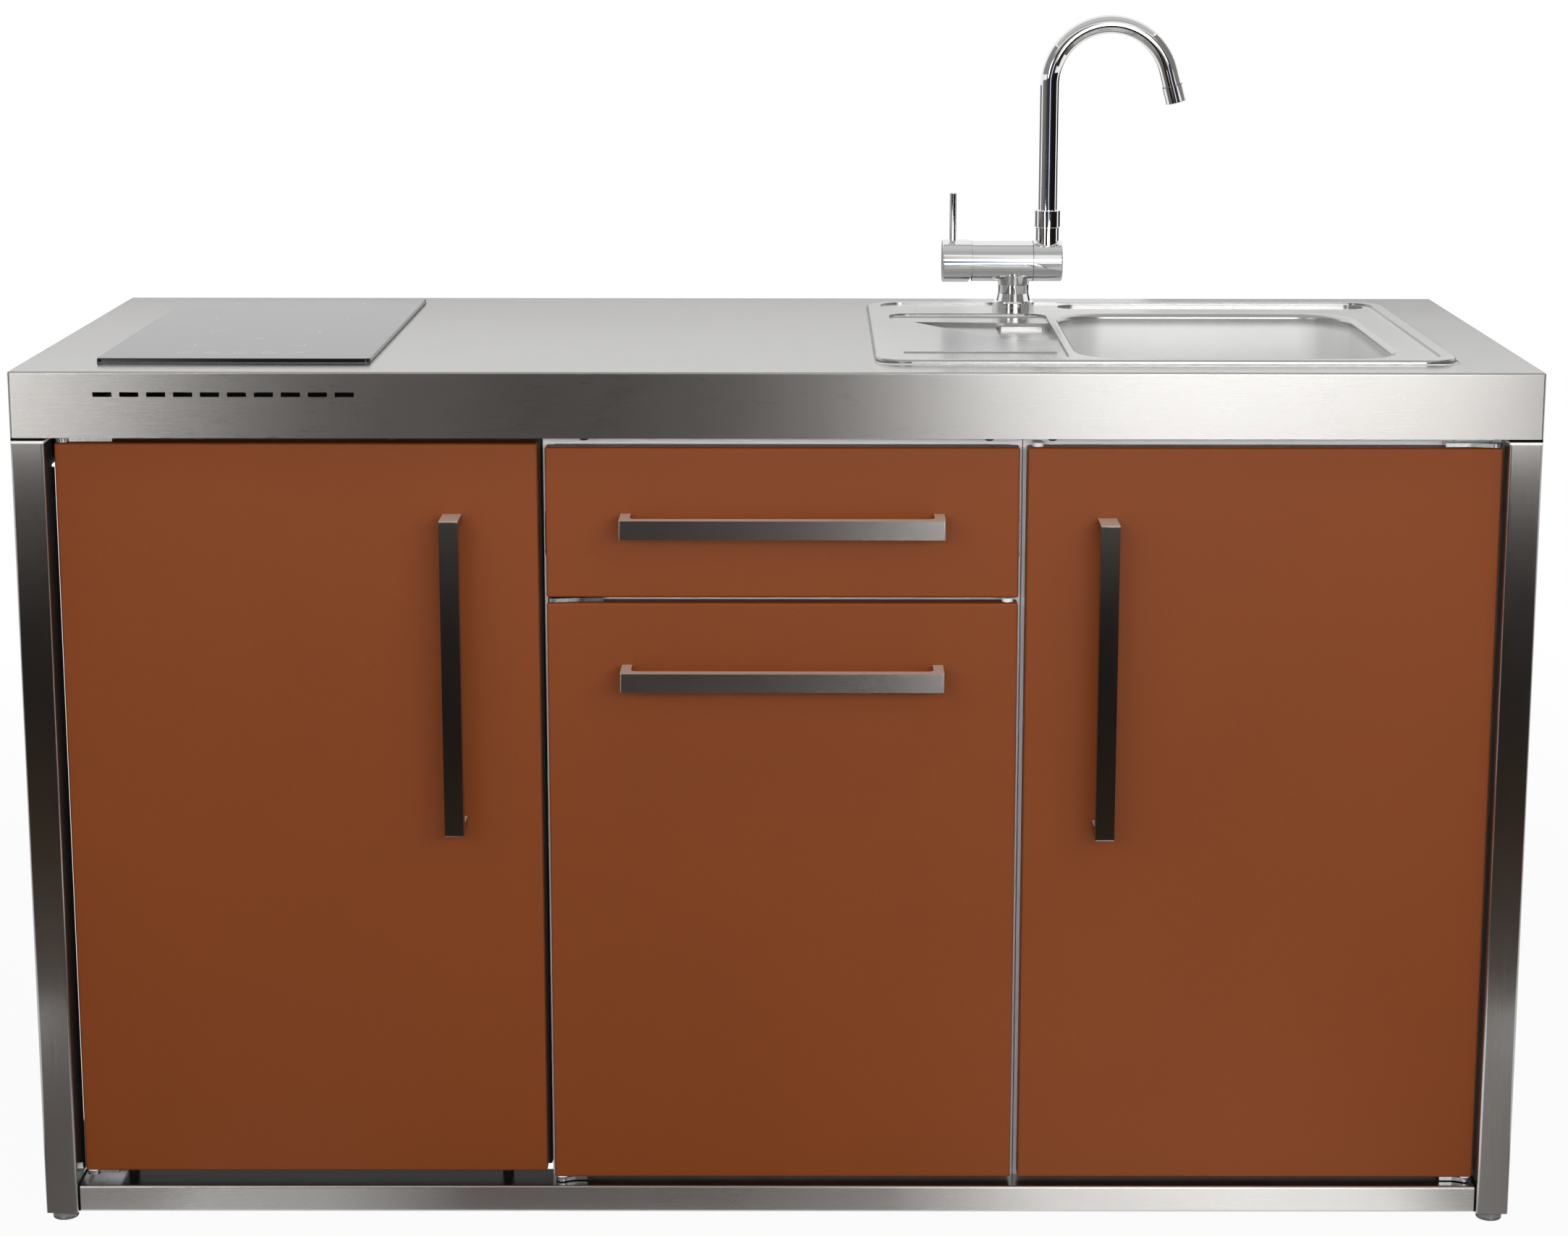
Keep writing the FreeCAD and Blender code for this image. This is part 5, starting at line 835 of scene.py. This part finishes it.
dialMarks = {"centre": (-0.2887, -0.098, 0.7728), "radius": 0.0235, "angles": (-60, -10, 40, 90, 140, 190, 240),
             "width": 0.0009, "length": 0.0028, "growth": 0.0006, "height": 0.0004,
             "pointerAt": (-0.30655, -0.098, 0.7818), "pointer": (0.0012, 0.010, 0.0012)}


def makeDialMarks():
    # a scale round the knob that grows with the setting, and a pointer on its grip
    scale, pointer = bmesh.new(), bmesh.new()
    growth = dialMarks["growth"]
    for i, angle in enumerate(dialMarks["angles"]):
        turn = math.radians(angle)
        up = Vector((0, math.sin(turn), math.cos(turn)))
        at = Vector(dialMarks["centre"]) + up * (dialMarks["radius"] + i * growth / 2)
        boxInto(scale, at, up.cross(Vector((1, 0, 0))), up, dialMarks["width"], dialMarks["length"] + i * growth,
                dialMarks["height"])
    boxInto(pointer, dialMarks["pointerAt"], (0, 1, 0), (0, 0, 1), *dialMarks["pointer"])
    addPiece("dialMarks", meshFrom("dialMarks", scale, False), "unit", "greyPlastic")
    addPiece("dialPointer", meshFrom("dialPointer", pointer, False), "thermostat", "redPlastic")


coolingPlate = {"x": (-0.690, -0.322), "y": (0.2445, 0.2475), "z": (0.700, 0.806), "rounding": 0.0008,
                "screwInset": (0.030, 0.016), "screw": [(0.006, 0), (0.0055, 0.002), (0.003, 0.0028), (0, 0.0028)],
                "spacer": [(0.005, 0), (0.005, 0.0065)],
                "channelRadius": 0.0026, "channelInset": (0.050, 0.018), "passes": 4, "turn": 0.012}


def makeCoolingPlate():
    # the cold plate on the upper back wall, with its blown channel
    (x0, x1), (y0, y1), (z0, z1) = coolingPlate["x"], coolingPlate["y"], coolingPlate["z"]
    inX, inZ = coolingPlate["screwInset"]
    bm = bmesh.new()
    barInto(bm, x0, x1, y0, y1, z0, z1)
    for x in (x0 + inX, x1 - inX):
        for z in (z0 + inZ, z1 - inZ):
            turnInto(bm, coolingPlate["screw"], (x, y0, z), (0, -1, 0), 20)
            turnInto(bm, coolingPlate["spacer"], (x, y1, z), (0, 1, 0), 16)
    addPiece("coolingPlate", meshFrom("coolingPlate", bm), "unit", "platePaint",
             coolingPlate["rounding"])
    inX, inZ = coolingPlate["channelInset"]
    pitch = (z1 - z0 - 2 * inZ) / (coolingPlate["passes"] - 1)
    path, ends = [], [x0 + inX, x1 - inX]
    for i in range(coolingPlate["passes"]):
        path += [(x, y0, z0 + inZ + i * pitch) for x in ends]
        ends.reverse()  # the next pass runs back
    addTube("coolingChannel", path, coolingPlate["channelRadius"], coolingPlate["turn"], "unit", "platePaint")


doorRibs = {"x": (-0.640, -0.505, -0.370), "halfWidth": 0.007, "y": (-0.2605, -0.2568),
            "spans": ((0.205, 0.385), (0.475, 0.625), (0.715, 0.775)), "rounding": 0.003}


def makeDoorRibs():
    # raised ribs in the moulded inner door between the trays
    bm = bmesh.new()
    half = doorRibs["halfWidth"]
    for x in doorRibs["x"]:
        for z0, z1 in doorRibs["spans"]:
            barInto(bm, x - half, x + half, *doorRibs["y"], z0, z1)
    addPiece("doorRibs", meshFrom("doorRibs", bm, False), "left_door", "whitePlastic",
             doorRibs["rounding"])


sealFolds = {"x": (-0.744, -0.266), "z": (0.067, 0.848), "insets": (0.0025, 0.0115), "y": -0.2588,
             "radius": 0.0007, "turn": 0.006}


def makeSealFolds():
    # the two lips that run round the door seal
    (x0, x1), (z0, z1) = sealFolds["x"], sealFolds["z"]
    for i, inset in enumerate(sealFolds["insets"]):
        corners = loopCorners(x0 + inset, x1 - inset, z0 + inset, z1 - inset)
        addTube("sealLip" + str(i + 1), [(x, sealFolds["y"], z) for x, z in corners], sealFolds["radius"],
                sealFolds["turn"], "left_door", "doorSeal")


coldTubes = {  # radius, turn, coat, slot and path
    "dischargeTube": (0.0030, 0.014, "fridgeCoat", "dark_paint",
                      [(-0.560, 0.205, 0.118), (-0.606, 0.205, 0.118), (-0.606, 0.205, 0.222), (-0.606, 0.262, 0.222),
                       (-0.700, 0.262, 0.222), (-0.700, 0.2985, 0.222), (-0.700, 0.3030, 0.284)]),
    "suctionTube": (0.00345, 0.014, "copperTube", "brass",
                    [(-0.470, 0.262, 0.128), (-0.470, 0.288, 0.128), (-0.470, 0.288, 0.205), (-0.350, 0.288, 0.205),
                     (-0.350, 0.2885, 0.2395)]),
    "chargeTube": (0.0030, 0.010, "copperTube", "brass",
                   [(-0.452, 0.245, 0.130), (-0.415, 0.262, 0.130), (-0.400, 0.275, 0.165)]),
    "capillary": (0.0012, 0.012, "copperTube", "brass",
                  [(-0.716, 0.250, 0.214), (-0.716, 0.250, 0.230), (-0.690, 0.272, 0.230), (-0.640, 0.280, 0.212),
                   (-0.640, 0.280, 0.185), (-0.665, 0.280, 0.185), (-0.665, 0.280, 0.226), (-0.560, 0.286, 0.226),
                   (-0.560, 0.2875, 0.2395)]),
    "relayClip": (0.0010, 0.004, "zincPlate", "zinc",
                  [(-0.438, 0.193, 0.123), (-0.398, 0.193, 0.123), (-0.398, 0.247, 0.123), (-0.438, 0.247, 0.123)]),
}


def makeColdTube(name):
    radius, turn, coat, slot, path = coldTubes[name]
    addTube(name, path, radius, turn, "unit", coat)


filterDrier = {"at": (-0.716, 0.250, 0.112),
               "profile": [(0, -0.012), (0.0030, -0.012), (0.0030, 0), (0.0085, 0.010), (0.0085, 0.082),
                           (0.0021, 0.094), (0.0021, 0.104), (0, 0.104)]}
startRelay = {"body": (-0.4400, -0.4020, 0.196, 0.244, 0.096, 0.150),
              "cap": (-0.4030, -0.4000, 0.202, 0.238, 0.104, 0.142), "rounding": 0.002}
meltTray = {"x": (-0.572, -0.440), "y": (0.166, 0.270), "z": (0.1745, 0.196), "wall": 0.002}


def makeColdCircuit():
    # tubes, filter and start relay round the compressor, and the tray that dries the melt water
    for name in ("dischargeTube", "suctionTube", "chargeTube"):
        makeColdTube(name)
    drier = bmesh.new()
    turnInto(drier, filterDrier["profile"], filterDrier["at"], (0, 0, 1), 28)
    addPiece("filterDrier", meshFrom("filterDrier", drier), "unit", "copperTube")
    makeColdTube("capillary")
    relay = bmesh.new()
    barInto(relay, *startRelay["body"])
    barInto(relay, *startRelay["cap"])
    addPiece("startRelay", meshFrom("startRelay", relay, False), "unit", "blackPlastic",
             startRelay["rounding"])
    makeColdTube("relayClip")
    tray = bmesh.new()
    (x0, x1), (y0, y1), (z0, z1), wall = meltTray["x"], meltTray["y"], meltTray["z"], meltTray["wall"]
    barInto(tray, x0, x1, y0, y1, z0, z0 + wall)
    for sides in ((x0, x1, y0, y0 + wall), (x0, x1, y1 - wall, y1), (x0, x0 + wall, y0 + wall, y1 - wall),
                  (x1 - wall, x1, y0 + wall, y1 - wall)):
        barInto(tray, *sides, z0 + wall, z1)
    addPiece("meltTray", meshFrom("meltTray", tray, False), "unit", "greyPlastic")


# Sink, waste and tap

sinkBead = {"x": (0.1037, 0.7243), "y": (-0.2393, 0.2563), "z": 0.9402, "radius": 0.0008, "turn": 0.022}
hobBead = {"x": (-0.7205, -0.4315), "y": (-0.2340, 0.2750), "z": 0.9405, "radius": 0.0006, "turn": 0.006}


def makeSealBead(name, bead, coat):
    # sealant where the sink or the glass lies on the worktop
    path = [(x, y, bead["z"]) for x, y in loopCorners(*bead["x"], *bead["y"])]
    addTube(name, path, bead["radius"], bead["turn"], "unit", coat)


trapGrips = {"centre": (0.494, -0.029), "radius": 0.0333, "z": (0.580, 0.606), "ribs": 30, "ribDepth": 0.0022,
             "ribWidth": 0.0024, "rounding": 0.0005}


def makeTrapGrips():
    # grip ribs round the cup of the bottle trap
    bm = bmesh.new()
    z0, z1 = trapGrips["z"]
    centre = Vector((*trapGrips["centre"], (z0 + z1) / 2))
    for i in range(trapGrips["ribs"]):
        turn = 2 * math.pi * i / trapGrips["ribs"]
        out = Vector((math.cos(turn), math.sin(turn), 0))
        boxInto(bm, centre + out * trapGrips["radius"], out, (0, 0, 1), trapGrips["ribDepth"], z1 - z0,
                trapGrips["ribWidth"])
    addPiece("trapGrips", meshFrom("trapGrips", bm, False), "unit", "whitePlastic",
             trapGrips["rounding"])


jointRings = {"rings": ((0.3004, 0.0239, 0.0008), (0.2279, 0.0236, 0.0006)), "y": 0.2035, "z": 1.000,
              "proud": 0.0002, "depth": 0.002}


def ringInto(bm, at, along, radius, width, depth, proud=0.0):
    turnInto(bm, [(radius - depth, 0), (radius + proud, 0), (radius + proud, width), (radius - depth, width)],
             at, along, 72)


def makeJointRings():
    # dark rings in the joints of the tap's body
    bm = bmesh.new()
    for x, radius, width in jointRings["rings"]:
        ringInto(bm, (x - width / 2, jointRings["y"], jointRings["z"]), (1, 0, 0), radius, width,
                 jointRings["depth"], jointRings["proud"])
    addPiece("tapJointRings", meshFrom("tapJointRings", bm), "unit", "doorSeal")


aeratorRing = {"centre": (0.3886, 0.2035, 1.208), "bend": 0.071, "end": 0.020, "lean": 15, "radius": 0.0119,
               "width": 0.0007, "depth": 0.002}


def makeAeratorRing():
    # the dark seam between the spout's mouth and the aerator: centre is that of the spout's last bend
    lean, width = math.radians(aeratorRing["lean"]), aeratorRing["width"]
    along = Vector((math.sin(lean), 0, -math.cos(lean)))
    mouth = Vector(aeratorRing["centre"]) + Vector((math.cos(lean), 0, math.sin(lean))) * aeratorRing["bend"]
    bm = bmesh.new()
    ringInto(bm, mouth + along * (aeratorRing["end"] - width), along, aeratorRing["radius"], width,
             aeratorRing["depth"])
    addPiece("aeratorRing", meshFrom("aeratorRing", bm), "spout", "doorSeal")


aeratorMesh = {"at": (0.4655, 0.2035, 1.1895), "radius": 0.0086, "pitch": 0.0016, "wire": (0.00044, 0.0003),
               "lean": 15}


def makeAeratorMesh():
    # the wire mesh in the aerator's mouth
    bm = bmesh.new()
    lean = math.radians(aeratorMesh["lean"])
    side, across = Vector((math.cos(lean), 0, math.sin(lean))), Vector((0, 1, 0))
    r, pitch, wire = aeratorMesh["radius"], aeratorMesh["pitch"], aeratorMesh["wire"]
    count = int(r / pitch)
    for i in range(-count, count + 1):
        reach = math.sqrt(max(r * r - (i * pitch) ** 2, 1e-9))
        for along, away in ((across, side), (side, across)):
            boxInto(bm, Vector(aeratorMesh["at"]) + away * (i * pitch), along, away, 2 * reach, *wire)
    addPiece("aeratorMesh", meshFrom("aeratorMesh", bm, False), "spout", "zincPlate")


basketKnob = {"at": (0.494, -0.029, 0.789),
              "profile": [(0.0030, -0.018), (0.0030, 0.000), (0.0085, 0.0025), (0.0092, 0.0042), (0.0085, 0.0060),
                          (0, 0.0064)]}


def makeBasketKnob():
    # the little lifting knob in the strainer
    bm = bmesh.new()
    turnInto(bm, basketKnob["profile"], basketKnob["at"], (0, 0, 1))
    addPiece("basketKnob", meshFrom("basketKnob", bm), "strainer", "pressedSteel")


def makeDetails():
    makeApronScrews()
    makeSlitShadeStrips()
    makeWeldBeads()
    makeFootDetails()
    makeHingeTrim()
    print("frame details done")
    makeDoorBuffers()
    makeDrawerRivets()
    makeRunnerBalls()
    makeShelfHoles()
    makeBackRivets()
    print("door and cabinet details done")
    makeShelfTrims()
    makeLampCover()
    makeDialMarks()
    makeCoolingPlate()
    makeDoorRibs()
    makeSealFolds()
    makeColdCircuit()
    print("refrigerator details done")
    makeSealBead("sinkBead", sinkBead, "sealant")
    makeSealBead("hobBead", hobBead, "doorSeal")
    makeTrapGrips()
    makeJointRings()
    makeAeratorRing()
    makeAeratorMesh()
    makeBasketKnob()
    softenNodes(0.0005, "left_door_handle", "right_door_handle", "middle_door_handle", "drawer_handle")
    print("sink and tap details done")


makeStudio()
makeFinishes()
makeDetails()

print("scene done")
